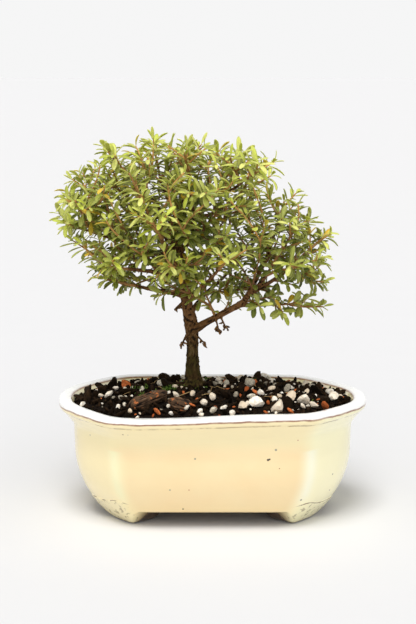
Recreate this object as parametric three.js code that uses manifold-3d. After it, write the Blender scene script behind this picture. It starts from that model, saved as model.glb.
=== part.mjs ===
// A Bahama berry bonsai in a cream glazed pot with cut corners. Millimetres, +Z up, and the pot's front
// faces -Y. Trunk and limbs are one piece of wood, each leafy shoot is a piece, and the soil fills the pot.
import * as THREE from "three";
import { mergeVertices } from "three/addons/utils/BufferGeometryUtils.js";
import Module from "manifold-3d";

const wasm = await Module();
wasm.setup();

const GAP = 0.3;

// Pot: the outline is eight-sided, given by how far its long, short and cut sides lie from the centre.
const POT_HEIGHT = 77.5;
const RIM_HALF_LENGTH = 101.5;
const RIM_HALF_WIDTH = 67;
const RIM_CUT_SIDE = 92;
const CUT_SIDE_TURN = 0.71;
const CORNER_SHARPNESS = 18;
const POT_SIDES = 36;
const RIM_OVERHANG = 9.8;
const RIM_SAG = 0.8;
const WALL = 5.5;
const BOWL_TOP = 46;
const BOWL_INSET = 20;
const BOWL_POWER = 2.1;
const FLOOR_TOP = 16;
const FOOT_HEIGHT = 11;
const FOOT_WIDTH = 10;
const FRONT_ARCH = 53;
const SIDE_ARCH = 23;
const ARCH_SHOULDER = 15;
const DRAIN_RADIUS = 8;
const DRAIN_X = 42;
const DRAIN_SIDES = 12;
const SCREEN_SIZE = 25;
const SCREEN_THICKNESS = 1;
const SCREEN_HOLES = 2;
const SCREEN_BAR = 2.5;

// The rim, from the cove under it over the top to the inside: [in from the edge, below the top].
const RIM_PROFILE = [
  [9.2, 17], [7.2, 13], [4.6, 9.6], [2.6, 7.2], [0.6, 5.2], [0, 3.6], [0.2, 1], [1.2, 0],
  [7.2, 0], [8.3, 0.9], [11.2, 6], [14.2, 13],
];

// Soil: a low mound with grains on it. Its facets cross the pot's, so it keeps a little more room there.
const SOIL_CLEARANCE = 0.5;
const SOIL_BELOW_RIM = 2.8;
const SOIL_MOUND = 9;
const SOIL_MOUND_POWER = 3.2;
const SOIL_RINGS = 5;
const SOIL_ROUGHNESS = 0.7;
const GRAIN_COUNT = 26;
const GRAIN_RADIUS = [2.2, 4];
const GRAIN_SEED = 21;

// Bark chips on the soil: place, [length, width, height], turn and tilt in degrees.
const CHIPS = [
  { at: [-41, -35], size: [28, 10, 7], turn: 42, tilt: 10 },
  { at: [-21, -42], size: [15, 10, 7], turn: -40, tilt: -8 },
];

// Wood: the trunk and limbs as [x, y, z, radius] from root to tip.
const TRUNK_SIDES = 9;
const TRUNK_RIDGE = 0.05;
const LIMB_SIDES = 5;
const TRUNK = [
  [-12.4, 2, 56, 4.8], [-12.5, 2, 76, 5.6], [-12.6, 2, 84, 6.6], [-12.9, 2, 91, 5.2], [-13.3, 2, 101, 4.2],
  [-13.2, 2, 113, 3.9], [-14, 2, 124, 4.6], [-16.2, 2, 135, 3.8], [-18.5, 3, 148, 3.5], [-20.8, 4, 163, 3],
  [-21.3, 5, 180, 2.4], [-16.5, 5.6, 188, 2],
];
const LIMBS = [
  [[-16.5, 5.6, 188, 2], [-9, 6, 197, 1.8], [-0.3, 5, 210, 1.5], [6, 3, 218, 0.9]],
  [[-14, 1.6, 120, 2.6], [2, -3, 130, 2.2], [18.5, -8, 140, 2.1], [24.5, -10, 147, 1.6], [33, -14, 157, 1.2],
    [38, -17, 166, 0.9]],
  [[20, -8.5, 141, 1.7], [29, -3, 156, 1.4], [37, 7, 172, 1.2], [42, 14, 187, 0.9]],
  [[24.5, -10, 147, 1.5], [38, -11, 155, 1.3], [48, -8, 162, 1.1], [54, -5, 167, 0.8]],
  [[17, -7.6, 139, 1.5], [33, -2, 138, 1.2], [45, 4, 138, 1], [51, 6, 137, 0.7]],
  [[-17, 2, 143, 2.2], [-27, 0, 146, 1.7], [-40, -6, 149, 1.4], [-50, -10, 152, 0.9]],
  [[-19.5, 3, 156, 2], [-32, -8, 160, 1.6], [-44, -19, 163, 1.4], [-54, -26, 165, 1.1]],
  [[-21, 4, 165, 1.9], [-45, 5, 175, 1.6], [-68, 3, 182, 1.2], [-82, 0, 187, 0.8]],
  [[-21.3, 5, 177, 1.8], [-42, 9, 189, 1.4], [-61, 11, 196, 1.1], [-75, 12, 200, 0.8]],
  [[-20, 5, 182, 1.7], [-32, 2, 198, 1.4], [-43, -2, 211, 1.1], [-50, -4, 219, 0.8]],
  [[-12, 6, 193, 1.5], [-14, 0, 206, 1.3], [-14, -7, 216, 1.1], [-15, -13, 223, 0.8]],
  [[-18.5, 2, 148, 2], [-22, -15, 163, 1.5], [-28, -30, 176, 1.2], [-32, -40, 186, 0.8]],
  [[-17, 2, 138, 2], [-9, -16, 150, 1.4], [-1, -32, 160, 1.1], [4, -41, 167, 0.8]],
  [[-20.5, 4, 160, 2], [-21, 22, 174, 1.5], [-23, 37, 189, 1.2], [-25, 45, 200, 0.8]],
  [[-14, 6, 191, 1.5], [2, 18, 197, 1.3], [14, 28, 203, 1.1], [21, 34, 208, 0.8]],
  [[-21, 5, 171, 1.8], [-36, 24, 184, 1.4], [-50, 36, 193, 1.1], [-58, 42, 199, 0.8]],
  [[-2, 5.2, 208, 1.3], [12, 0, 213, 1.1], [21, -5, 220, 0.8]],
  [[-15.5, 2, 131, 2], [-5, 18, 142, 1.4], [7, 31, 151, 1.1], [14, 38, 158, 0.8]],
  [[-19, 3, 151, 1.9], [-33, 20, 157, 1.4], [-46, 30, 164, 1.1], [-54, 35, 170, 0.8]],
  [[-20, 4, 185, 1.6], [-28, 18, 202, 1.3], [-34, 26, 216, 1.1], [-36, 29, 225, 0.8]],
];
// Roots that show on the soil beside the trunk.
const ROOTS = [
  [[-12.6, 2, 87, 2.6], [-19, -3, 83.5, 1.8], [-27, -7, 81.5, 1.2], [-33, -9, 78, 0.8]],
  [[-12.6, 2, 87, 2.6], [-6, 7, 83.6, 1.8], [1, 11, 81.5, 1.2], [7, 13, 78, 0.8]],
  [[-12.6, 2, 86, 2.6], [-9, -6, 83.4, 1.7], [-5, -13, 81, 1.1], [-2, -18, 78, 0.8]],
];
// Dead snags below the crown.
const SNAGS = [
  [[-16, 0, 120, 1], [-20.5, -2, 111, 0.7]],
  [[-11, 0, 118, 0.9], [-5.5, -3, 113, 0.6]],
  [[2, -3, 129, 0.9], [4, -5, 122, 0.6]],
  [[5, -4, 131, 0.9], [9, -7, 123, 0.6]],
  [[-19, 1, 140, 1], [-24, -3, 136, 0.7]],
];

// Crown: three rounded masses, which the shoots fill out to their surface. A mass keeps only the tips that lie
// further out in each of the others than its own freeOf.
const CROWN = [
  { centre: [-28, 2, 198], half: [73, 60, 50], power: 2.7, shoots: 26, freeOf: 0.75 },
  { centre: [38, -2, 172], half: [41, 42, 45], power: 2.4, shoots: 12, freeOf: 0.95 },
  { centre: [-36, 0, 168], half: [44, 46, 28], power: 2.4, shoots: 8, freeOf: 0.85 },
];
const SHOOT_SEED = 7;
const TIP_INSET = 7;
const TIP_SPACING = 19;
const END_SHOOT = [13, 32];
const SHOOT_REACH = [20, 62];
const ROOT_SPACING = 6;
const BRANCH_SIDES = 4;
const STEM_RADIUS = [0.85, 0.55];
const TWIG_RADIUS = [0.6, 0.45];
const TWIGS = [{ share: 0.5, long: 16 }, { share: 0.74, long: 13 }];
// The share of a stem and of a twig that has no leaves, from its root on.
const BARE_STEM = 0.35;
const BARE_TWIG = 0.4;
const PAIR_SPACING = 7.2;
const LEAF_LENGTH = 12.5;
const LEAF_HALF_WIDTH = 2.8;
const LEAF_THICKNESS = 0.9;
const LEAF_NECK = 0.4;
// A leaf's edge, as [share of its length, share of its half width], and the share where its rib is thickest.
const LEAF_EDGE = [[0.36, -0.8], [0.76, -1], [1, 0], [0.76, 1], [0.36, 0.8]];
const LEAF_RIB = 0.55;
const LEAF_DROOP = 0.22;
const LEAF_LEAN = 1.05;
const TIP_LEAF_LEAN = 0.7;

const COLOURS = {
  glaze: [0xf3e0b4, 0.25],
  soil: [0x2b221b, 0.95],
  bark: [0x5b4530, 0.9],
  leaf: [0x8fa545, 0.5],
  screen: [0x26282a, 0.6],
};

// Arithmetic on points and directions, each a list [x, y, z].
const add = (a, b) => a.map((v, i) => v + b[i]);
const sub = (a, b) => a.map((v, i) => v - b[i]);
const scale = (a, s) => a.map((v) => v * s);
const sum = (...terms) => terms.reduce(add);
const dot = (a, b) => a[0] * b[0] + a[1] * b[1] + a[2] * b[2];
const cross = (a, b) => [a[1] * b[2] - a[2] * b[1], a[2] * b[0] - a[0] * b[2], a[0] * b[1] - a[1] * b[0]];
const length = (a) => Math.sqrt(dot(a, a));
const unit = (a) => scale(a, 1 / length(a));
const place = (p) => p.slice(0, 3);
const between = ([low, high], t) => low + (high - low) * t;
const count = (n) => [...Array(n).keys()];

// A repeatable stream of numbers from 0 to 1.
function randomStream(seed) {
  let state = Math.imul(seed, 2654435761) >>> 0;
  return () => {
    state = (Math.imul(state, 1664525) + 1013904223) >>> 0;
    return state / 4294967296;
  };
}

// Solids

function solidOf(geometry) {
  geometry.deleteAttribute("normal");
  geometry.deleteAttribute("uv");
  const merged = mergeVertices(geometry, 1e-4);
  return new wasm.Manifold(
    new wasm.Mesh({
      numProp: 3,
      vertProperties: merged.getAttribute("position").array,
      triVerts: new Uint32Array(merged.index.array),
    }),
  );
}

function solidFrom(vertices, triangles) {
  const geometry = new THREE.BufferGeometry();
  geometry.setAttribute("position", new THREE.Float32BufferAttribute(vertices.flat(), 3));
  geometry.setIndex(triangles);
  return solidOf(geometry);
}

// A closed skin through rings of points, each anticlockwise seen from ahead, with flat ends.
function loft(rings) {
  const sides = rings[0].length;
  const triangles = [];
  const last = (rings.length - 1) * sides;
  for (let start = 0; start < last; start += sides) {
    for (let j = 0; j < sides; j++) {
      const next = (j + 1) % sides;
      triangles.push(start + j, start + next, start + sides + next);
      triangles.push(start + j, start + sides + next, start + sides + j);
    }
  }
  for (let j = 1; j + 1 < sides; j++) triangles.push(0, j + 1, j, last, last + j, last + j + 1);
  return solidFrom(rings.flat(), triangles);
}

// The point on a smooth curve through points, for t from 0 to the number of spans.
function onCurve(points, t) {
  const spans = points.length - 1;
  const k = Math.min(Math.floor(t), spans - 1);
  const u = t - k;
  const before = k > 0 ? points[k - 1] : sub(scale(points[0], 2), points[1]);
  const after = k + 2 <= spans ? points[k + 2] : sub(scale(points[spans], 2), points[spans - 1]);
  const rise = sub(points[k + 1], points[k]);
  const slope = scale(sub(points[k + 1], before), 0.5);
  const nextSlope = scale(sub(after, points[k]), 0.5);
  const square = sub(scale(rise, 3), add(scale(slope, 2), nextSlope));
  const cube = sub(add(slope, nextSlope), scale(rise, 2));
  return sum(points[k], scale(slope, u), scale(square, u * u), scale(cube, u * u * u));
}

// Rings round [x, y, z, radius] points. Extra grows them, ridge makes them uneven, turn turns them.
function ringsAlong(points, sides, { extra = 0, ridge = 0, turn = 0 } = {}) {
  const end = points.length - 1;
  let across = null;
  return points.map((p, i) => {
    const along = unit(sub(place(points[Math.min(i + 1, end)]), place(points[Math.max(i - 1, 0)])));
    const guide = across || (Math.abs(along[2]) > 0.9 ? [1, 0, 0] : [0, 0, 1]);
    across = unit(sub(guide, scale(along, dot(guide, along))));
    const up = cross(along, across);
    const shift = i === 0 ? -extra : i === end ? extra : 0;
    const centre = add(place(p), scale(along, shift));
    return count(sides).map((j) => {
      const angle = turn + (2 * Math.PI * j) / sides;
      const radius = p[3] * (1 + ridge * Math.sin(j * 2.4 + i * 0.9)) + extra;
      return sum(centre, scale(across, radius * Math.cos(angle)), scale(up, radius * Math.sin(angle)));
    });
  });
}

const tube = (points, sides, options) => loft(ringsAlong(points, sides, options));

const largest = (solid) => solid.decompose().sort((a, b) => b.volume() - a.volume())[0];

// Pot

// How far the outline lies from the centre at an angle, once moved in by inset.
function potRadius(angle, inset) {
  const [x, y] = [Math.abs(Math.cos(angle)), Math.abs(Math.sin(angle))];
  const reaches = [
    x / (RIM_HALF_LENGTH - inset),
    y / (RIM_HALF_WIDTH - inset),
    (Math.cos(CUT_SIDE_TURN) * x + Math.sin(CUT_SIDE_TURN) * y) / (RIM_CUT_SIDE - inset),
  ];
  return reaches.reduce((total, v) => total + v ** CORNER_SHARPNESS, 0) ** (-1 / CORNER_SHARPNESS);
}

// The hand-made rim sags at the front left and rises at the front right, and the bowl below it is level.
function liftAt(angle, z) {
  const share = Math.max(0, (z - BOWL_TOP) / (POT_HEIGHT - BOWL_TOP));
  return -RIM_SAG * Math.sin(2 * angle) * (1 - Math.sin(angle)) * share;
}

function potRing(inset, z, share = 1) {
  return count(POT_SIDES).map((j) => {
    const turn = (2 * Math.PI * j) / POT_SIDES;
    const angle = Math.atan2(RIM_HALF_WIDTH * Math.sin(turn), RIM_HALF_LENGTH * Math.cos(turn));
    const radius = potRadius(angle, inset) * share;
    return [radius * Math.cos(angle), radius * Math.sin(angle), z + liftAt(angle, z)];
  });
}

// How far the wall's outside stands in from the rim's edge at a height.
const wallInset = (z) => RIM_OVERHANG + BOWL_INSET * Math.max(0, 1 - z / BOWL_TOP) ** BOWL_POWER;

// What an arch between two feet takes away, across the whole pot along Y.
function archCut(halfLength) {
  const at = (t) => halfLength - ARCH_SHOULDER * t;
  const shape = new THREE.Shape();
  shape.moveTo(-at(0), -1);
  shape.lineTo(at(0), -1);
  shape.lineTo(at(0), 0);
  shape.quadraticCurveTo(at(0.3), FOOT_HEIGHT * 0.3, at(0.5), FOOT_HEIGHT * 0.6);
  shape.quadraticCurveTo(at(0.7), FOOT_HEIGHT, at(1), FOOT_HEIGHT);
  shape.lineTo(-at(1), FOOT_HEIGHT);
  shape.quadraticCurveTo(-at(0.7), FOOT_HEIGHT, -at(0.5), FOOT_HEIGHT * 0.6);
  shape.quadraticCurveTo(-at(0.3), FOOT_HEIGHT * 0.3, -at(0), 0);
  const across = { depth: 2 * RIM_HALF_LENGTH, bevelEnabled: false, curveSegments: 2 };
  return new THREE.ExtrudeGeometry(shape, across).translate(0, 0, -RIM_HALF_LENGTH).rotateX(Math.PI / 2);
}

function makePot() {
  const bowl = [0, 4, 9, 15, 22, 31, BOWL_TOP];
  const rim = RIM_PROFILE.map(([inset, drop]) => potRing(inset, POT_HEIGHT - drop));
  const outside = bowl.map((z) => potRing(wallInset(z), z));
  const inside = [BOWL_TOP, 30, 21, FLOOR_TOP].map((z) => potRing(wallInset(z) + WALL, z));
  const footInset = RIM_OVERHANG + BOWL_INSET + FOOT_WIDTH;
  let pot = loft([...outside, ...rim, ...inside]);
  pot = pot.subtract(loft([potRing(footInset, -1), potRing(footInset - 3, FOOT_HEIGHT)]));
  pot = pot.subtract(solidOf(archCut(FRONT_ARCH)));
  pot = pot.subtract(solidOf(archCut(SIDE_ARCH).rotateZ(Math.PI / 2)));
  for (const side of [-1, 1]) {
    const hole = new THREE.CylinderGeometry(DRAIN_RADIUS, DRAIN_RADIUS, FLOOR_TOP + 2, DRAIN_SIDES);
    pot = pot.subtract(solidOf(hole.rotateX(Math.PI / 2).translate(side * DRAIN_X, 0, FLOOR_TOP / 2)));
  }
  return pot;
}

// A plastic mesh square that keeps the soil out of a drain hole, as crossed bars.
function makeScreen(side) {
  const step = (SCREEN_SIZE - SCREEN_BAR) / SCREEN_HOLES;
  const bars = count(SCREEN_HOLES + 1).flatMap((i) => {
    const offset = (i - SCREEN_HOLES / 2) * step;
    return [
      new THREE.BoxGeometry(SCREEN_SIZE, SCREEN_BAR, SCREEN_THICKNESS).translate(0, offset, 0),
      new THREE.BoxGeometry(SCREEN_BAR, SCREEN_SIZE, SCREEN_THICKNESS).translate(offset, 0, 0),
    ];
  });
  const z = FLOOR_TOP + GAP + SCREEN_THICKNESS / 2;
  return bars.map((bar) => solidOf(bar.translate(side * DRAIN_X, 0, z))).reduce((a, b) => a.add(b));
}

// Soil

const soilEdge = POT_HEIGHT - SOIL_BELOW_RIM;

// The soil's edge lies just in from the rim's inside, between its lip and its throat.
const [lip, throat] = RIM_PROFILE.slice(-3, -1);
const edgeShare = (SOIL_BELOW_RIM - lip[1]) / (throat[1] - lip[1]);
const soilInset = between([lip[0], throat[0]], edgeShare) + SOIL_CLEARANCE;

function soilHeight(x, y) {
  const angle = Math.atan2(y, x);
  const inside = 1 - Math.min(1, Math.hypot(x, y) / potRadius(angle, soilInset)) ** SOIL_MOUND_POWER;
  const rough = Math.sin(x * 0.31 + 1.7) * Math.cos(y * 0.37 - 0.6) + 0.6 * Math.sin(x * 0.83 - y * 0.59);
  return soilEdge + liftAt(angle, soilEdge) * (1 - inside) + (SOIL_MOUND + SOIL_ROUGHNESS * rough) * inside;
}

function chipSolid({ at, size, turn, tilt }, extra = 0) {
  const geometry = new THREE.CylinderGeometry(0.5, 0.5, 1, 7, 4);
  const points = geometry.getAttribute("position");
  for (const i of count(points.count)) {
    const [x, y, z] = [points.getX(i), points.getY(i), points.getZ(i)];
    const slim = 1 - 0.45 * (2 * y) ** 4 + 0.12 * Math.sin(9 * y + 5 * x);
    const [long, wide, high] = size.map((v) => v + 2 * extra);
    points.setXYZ(i, y * long, -x * slim * wide, z * slim * high);
  }
  geometry.rotateY(THREE.MathUtils.degToRad(-tilt));
  geometry.rotateZ(THREE.MathUtils.degToRad(turn));
  return solidOf(geometry.translate(at[0], at[1], soilHeight(...at) + size[2] * 0.15));
}

function grainSolid(x, y, radius, turn) {
  const geometry = new THREE.IcosahedronGeometry(radius, 0).scale(1.25, 1, 0.8).rotateZ(turn);
  return solidOf(geometry.translate(x, y, soilHeight(x, y) + radius * 0.2));
}

function makeSoil() {
  const inBowl = [FLOOR_TOP + GAP, 21, 30, BOWL_TOP].map((z) => [wallInset(z) + WALL, z]);
  const inRim = RIM_PROFILE.slice(-2).reverse().map(([inset, drop]) => [inset, POT_HEIGHT - drop]);
  const rings = [...inBowl, ...inRim].map(([inset, z]) => potRing(inset + SOIL_CLEARANCE, z));
  for (const k of count(SOIL_RINGS)) {
    const ring = potRing(soilInset, 0, 1 - k / SOIL_RINGS);
    rings.push(ring.map(([x, y]) => [x, y, soilHeight(x, y)]));
  }
  let soil = loft(rings);
  const random = randomStream(GRAIN_SEED);
  const obstacles = [[TRUNK[2][0], TRUNK[2][1], 12], ...CHIPS.map((c) => [...c.at, c.size[0] / 2 + 1])];
  for (let i = 0; i < GRAIN_COUNT; i++) {
    const angle = random() * 2 * Math.PI;
    const reach = Math.sqrt(random()) * (potRadius(angle, soilInset) - 5);
    const [x, y] = [reach * Math.cos(angle), reach * Math.sin(angle)];
    const radius = between(GRAIN_RADIUS, random());
    const solid = grainSolid(x, y, radius, random() * Math.PI);
    const free = obstacles.every(([ox, oy, clear]) => Math.hypot(x - ox, y - oy) > clear + radius);
    if (free) soil = soil.add(solid);
  }
  soil = soil.subtract(makeWood(GAP));
  for (const chip of CHIPS) soil = soil.subtract(chipSolid(chip, GAP));
  for (const side of [-1, 1]) {
    const wide = SCREEN_SIZE + 2 * GAP;
    const room = new THREE.BoxGeometry(wide, wide, 2 * (SCREEN_THICKNESS + 2 * GAP));
    soil = soil.subtract(solidOf(room.translate(side * DRAIN_X, 0, FLOOR_TOP)));
  }
  return largest(soil);
}

// Trunk, limbs, surface roots and snags as one solid. Grown by extra, it is the room that they need.
function makeWood(extra = 0) {
  const trunk = tube(TRUNK, TRUNK_SIDES, { extra, ridge: TRUNK_RIDGE });
  const side = [...LIMBS, ...ROOTS, ...SNAGS].map((line) => tube(line, LIMB_SIDES, { extra }));
  return side.reduce((wood, limb) => wood.add(limb), trunk);
}

// Growth of the crown

// How far a point lies out in a mass of the crown: 1 on its surface.
function crownReach({ centre, half, power }, p) {
  const terms = p.map((v, i) => Math.abs((v - centre[i]) / half[i]) ** power);
  return terms.reduce((total, v) => total + v, 0) ** (1 / power);
}

// Points spread evenly over the crown by the golden angle, a little inside its surface.
function crownPoints() {
  return CROWN.flatMap((mass, which) => {
    const spread = count(mass.shoots).map((i) => {
      const rise = 1 - (1.75 * (i + 0.5)) / mass.shoots;
      const flat = Math.sqrt(1 - rise * rise);
      const turn = i * Math.PI * (3 - Math.sqrt(5)) + which;
      const way = [flat * Math.cos(turn), flat * Math.sin(turn), rise];
      const far = 1 / crownReach({ ...mass, centre: [0, 0, 0] }, way) - TIP_INSET;
      return { tip: add(mass.centre, scale(way, far)), mass };
    });
    const others = CROWN.filter((other) => other !== mass);
    return spread.filter(({ tip }) => others.every((other) => crownReach(other, tip) > mass.freeOf));
  });
}

// The way a limb runs at t.
function limbWay(limb, t) {
  const ahead = onCurve(limb, Math.min(t + 0.05, limb.length - 1));
  const behind = onCurve(limb, Math.max(t - 0.05, 0));
  return unit(sub(place(ahead), place(behind)));
}

// The shoot that ends a limb runs on along it to the crown's surface.
function endShoot(limb) {
  const last = limb.length - 1;
  const root = { at: place(limb[last]), way: limbWay(limb, last) };
  const mass = CROWN.reduce((a, b) => (crownReach(b, root.at) < crownReach(a, root.at) ? b : a));
  let far = END_SHOOT[0];
  while (far < END_SHOOT[1] && crownReach(mass, add(root.at, scale(root.way, far + TIP_INSET))) < 1) far += 1;
  return { tip: add(root.at, scale(root.way, far)), mass, root };
}

// Each free point of the crown takes the place on a limb that reaches it with the least length and bend.
function placeShoots() {
  const shoots = LIMBS.map(endShoot);
  const places = LIMBS.flatMap((limb) =>
    count(4 * (limb.length - 1) - 4).map((i) => {
      const t = 1 + i / 4;
      return { at: place(onCurve(limb, t)), way: limbWay(limb, t) };
    }),
  );
  const near = (a, b, far) => length(sub(a, b)) < far;
  for (const { tip, mass } of crownPoints()) {
    if (shoots.some((s) => near(s.tip, tip, TIP_SPACING))) continue;
    let best = null;
    for (const root of places) {
      const span = sub(tip, root.at);
      const far = length(span);
      if (far < SHOOT_REACH[0] || far > SHOOT_REACH[1]) continue;
      if (shoots.some((s) => near(s.root.at, root.at, ROOT_SPACING))) continue;
      const cost = far * (1 + 0.7 * (1 - dot(unit(span), root.way)));
      if (!best || cost < best.cost) best = { cost, root };
    }
    if (best) shoots.push({ tip, mass, root: best.root });
  }
  return shoots;
}

// A shoot's centre line leaves the limb forwards and turns outwards and up at its tip.
function stemLine({ tip, mass, root }) {
  const span = sub(tip, root.at);
  const third = length(span) / 3;
  const outwards = unit(sub(tip, mass.centre));
  const startWay = unit(add(scale(root.way, 0.6), scale(unit(span), 0.7)));
  const endWay = unit(sum(scale(outwards, 0.4), scale(unit(span), 0.7), [0, 0, 0.4]));
  const [b, c] = [add(root.at, scale(startWay, third)), sub(tip, scale(endWay, third))];
  return [0, 1 / 3, 2 / 3, 1].map((t) => {
    const s = 1 - t;
    const start = add(scale(root.at, s * s * s), scale(b, 3 * s * s * t));
    return [...sum(start, scale(c, 3 * s * t * t), scale(tip, t * t * t)), between(STEM_RADIUS, t)];
  });
}

// Side twigs leave a stem forwards, on alternate sides.
function twigLines(line, random) {
  return TWIGS.map(({ share, long }, k) => {
    const t = share * (line.length - 1);
    const way = limbWay(line, t);
    const side = unit(cross(way, Math.abs(way[2]) > 0.9 ? [1, 0, 0] : [0, 0, 1]));
    const turn = (k % 2 ? 1 : -1) * (0.75 + 0.5 * random());
    const out = unit(sum(scale(side, turn), scale(way, 0.75), [0, 0, 0.15 + 0.3 * random()]));
    const at = place(onCurve(line, t));
    const end = add(at, scale(out, long * (0.85 + 0.3 * random())));
    return [[...at, TWIG_RADIUS[0]], [...end, TWIG_RADIUS[1]]];
  });
}

// A branch: rings round its line, two at each pair of opposite leaves, and what is drawn for those leaves.
// Leaves stand on opposite sides of a four-sided branch, each pair a quarter turn from the last.
function makeBranch(line, bare, random) {
  const spans = line.length - 1;
  const long = count(spans).reduce((far, i) => far + length(sub(place(line[i + 1]), place(line[i]))), 0);
  const pairs = Math.max(1, Math.round(((1 - bare) * long) / PAIR_SPACING));
  const at = (far) => onCurve(line, spans * (1 - far / long));
  const nodes = count(pairs).map((i) => (pairs - 1 - i) * PAIR_SPACING);
  const points = [line[0], ...nodes.flatMap((far) => [at(far + 2 * LEAF_NECK), at(far)])];
  const rings = ringsAlong(points, BRANCH_SIDES, { turn: 2 * Math.PI * random() });
  const leaves = nodes.flatMap((far, i) =>
    [0, 2].map((side) => ({
      low: 1 + 2 * i,
      side: side + (i % 2),
      long: LEAF_LENGTH * (0.85 + 0.3 * random()),
      lean: far ? LEAF_LEAN : TIP_LEAF_LEAN,
    })),
  );
  return { rings, leaves };
}

// The branches of each shoot: its stem and then its twigs.
function growShoots() {
  return placeShoots().map((shoot, i) => {
    const random = randomStream(SHOOT_SEED + i);
    const line = stemLine(shoot);
    const stem = makeBranch(line, BARE_STEM, random);
    const twigs = twigLines(line, random).map((twig) => makeBranch(twig, BARE_TWIG, random));
    return [stem, ...twigs];
  });
}

// The points of a leaf: four at its neck on the branch, five round its edge and one on each face of its rib.
function leafPoints(rings, { low, side, long, lean }, margin = 0) {
  const next = (side + 1) % BRANCH_SIDES;
  const neck = [rings[low + 1][side], rings[low + 1][next], rings[low][side], rings[low][next]];
  const middle = (points) => scale(points.reduce(add), 1 / points.length);
  const way = unit(sub(middle(rings[low + 1]), middle(rings[low])));
  const out = unit(sub(middle(neck), middle([...rings[low], ...rings[low + 1]])));
  const run = add(scale(out, Math.sin(lean)), scale(way, Math.cos(lean)));
  const face = sub(scale(way, Math.sin(lean)), scale(out, Math.cos(lean)));
  const broad = cross(face, run);
  const root = middle(neck);
  const put = (share, half, lift) => {
    const drop = LEAF_DROOP * long * share * share;
    return sum(root, scale(run, share * (long + margin)), scale(broad, half), scale(face, lift - drop));
  };
  const wide = (LEAF_HALF_WIDTH * long) / LEAF_LENGTH + margin;
  const thick = LEAF_THICKNESS / 2 + margin;
  const edge = LEAF_EDGE.map(([share, half]) => put(share, half * wide, 0));
  return { neck, edge, rib: [put(LEAF_RIB, 0, thick), put(LEAF_RIB, 0, -thick)] };
}

// Triangles round the rib of a leaf, from its neck [upper, upper, lower, lower] by its edge and back.
function leafTriangles([upperA, upperB, lowerA, lowerB], edge, [top, bottom]) {
  const triangles = [edge[0], upperA, lowerA, upperB, edge[edge.length - 1], lowerB];
  const upper = [upperA, ...edge, upperB];
  const lower = [lowerA, ...edge, lowerB];
  upper.forEach((p, i) => triangles.push(top, p, upper[(i + 1) % upper.length]));
  lower.forEach((p, i) => triangles.push(bottom, lower[(i + 1) % lower.length], p));
  return triangles;
}

// The room that a leaf needs, as a solid by itself.
function leafRoom(rings, leaf) {
  const { neck, edge, rib } = leafPoints(rings, leaf, GAP);
  const order = [0, 1, 2, 3];
  const triangles = leafTriangles(order, edge.map((p, i) => 4 + i), [4 + edge.length, 5 + edge.length]);
  return solidFrom([...neck, ...edge, ...rib], [...triangles, 0, 1, 2, 2, 1, 3]);
}

// A branch as one skin, with leaves drawn out of its sides.
function branchSolid({ rings, leaves }) {
  const vertices = rings.flat();
  const top = vertices.length - BRANCH_SIDES;
  const triangles = [0, 2, 1, 0, 3, 2, top, top + 1, top + 2, top, top + 2, top + 3];
  for (let start = 0; start < top; start += BRANCH_SIDES) {
    for (let side = 0; side < BRANCH_SIDES; side++) {
      const lower = [start + side, start + ((side + 1) % BRANCH_SIDES)];
      const upper = lower.map((corner) => corner + BRANCH_SIDES);
      const leaf = leaves.find((l) => l.low * BRANCH_SIDES === start && l.side === side);
      if (leaf) {
        const { edge, rib } = leafPoints(rings, leaf);
        const edgeStart = vertices.length;
        const ribStart = edgeStart + edge.length;
        const edgeCorners = edge.map((p, i) => edgeStart + i);
        vertices.push(...edge, ...rib);
        triangles.push(...leafTriangles([...upper, ...lower], edgeCorners, [ribStart, ribStart + 1]));
      } else {
        triangles.push(lower[0], lower[1], upper[1], lower[0], upper[1], upper[0]);
      }
    }
  }
  return solidFrom(vertices, triangles);
}

function meets(a, b) {
  const [p, q] = [a.boundingBox(), b.boundingBox()];
  if ([0, 1, 2].some((i) => p.max[i] < q.min[i] || q.max[i] < p.min[i])) return false;
  return a.intersect(b).volume() > 0;
}

// The leafy shoots as solids. A twig or leaf that would touch another shoot, a leaf or the wood is left out.
function makeShoots() {
  const woodRoom = makeWood(GAP);
  const shoots = growShoots().map((branches) => ({ branches, taken: [] }));
  const blocked = (room, own) => shoots.some((s) => s !== own && s.taken.some((piece) => meets(piece, room)));
  for (const shoot of shoots) {
    shoot.branches = shoot.branches.filter(({ rings }) => !blocked(loft(rings), shoot));
    shoot.taken = shoot.branches.map(({ rings }) => loft(rings));
  }
  for (const shoot of shoots) {
    for (const branch of shoot.branches) {
      branch.leaves = branch.leaves.filter((leaf) => {
        const room = leafRoom(branch.rings, leaf);
        const own = shoot.taken.filter((piece, i) => i !== shoot.branches.indexOf(branch));
        if ([woodRoom, ...own].some((piece) => meets(piece, room)) || blocked(room, shoot)) return false;
        shoot.taken.push(room);
        return true;
      });
    }
  }
  return shoots.map(({ branches }) => {
    const whole = branches.map(branchSolid).reduce((shoot, branch) => shoot.add(branch));
    return largest(whole.subtract(woodRoom));
  });
}

function meshOf(name, solid, slot) {
  const { vertProperties, triVerts } = solid.getMesh();
  const geometry = new THREE.BufferGeometry();
  geometry.setAttribute("position", new THREE.BufferAttribute(vertProperties, 3));
  geometry.setIndex(new THREE.BufferAttribute(triVerts, 1));
  const [color, roughness] = COLOURS[slot];
  const mesh = new THREE.Mesh(geometry, new THREE.MeshStandardMaterial({ color, roughness, metalness: 0 }));
  mesh.name = name;
  return mesh;
}

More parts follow.
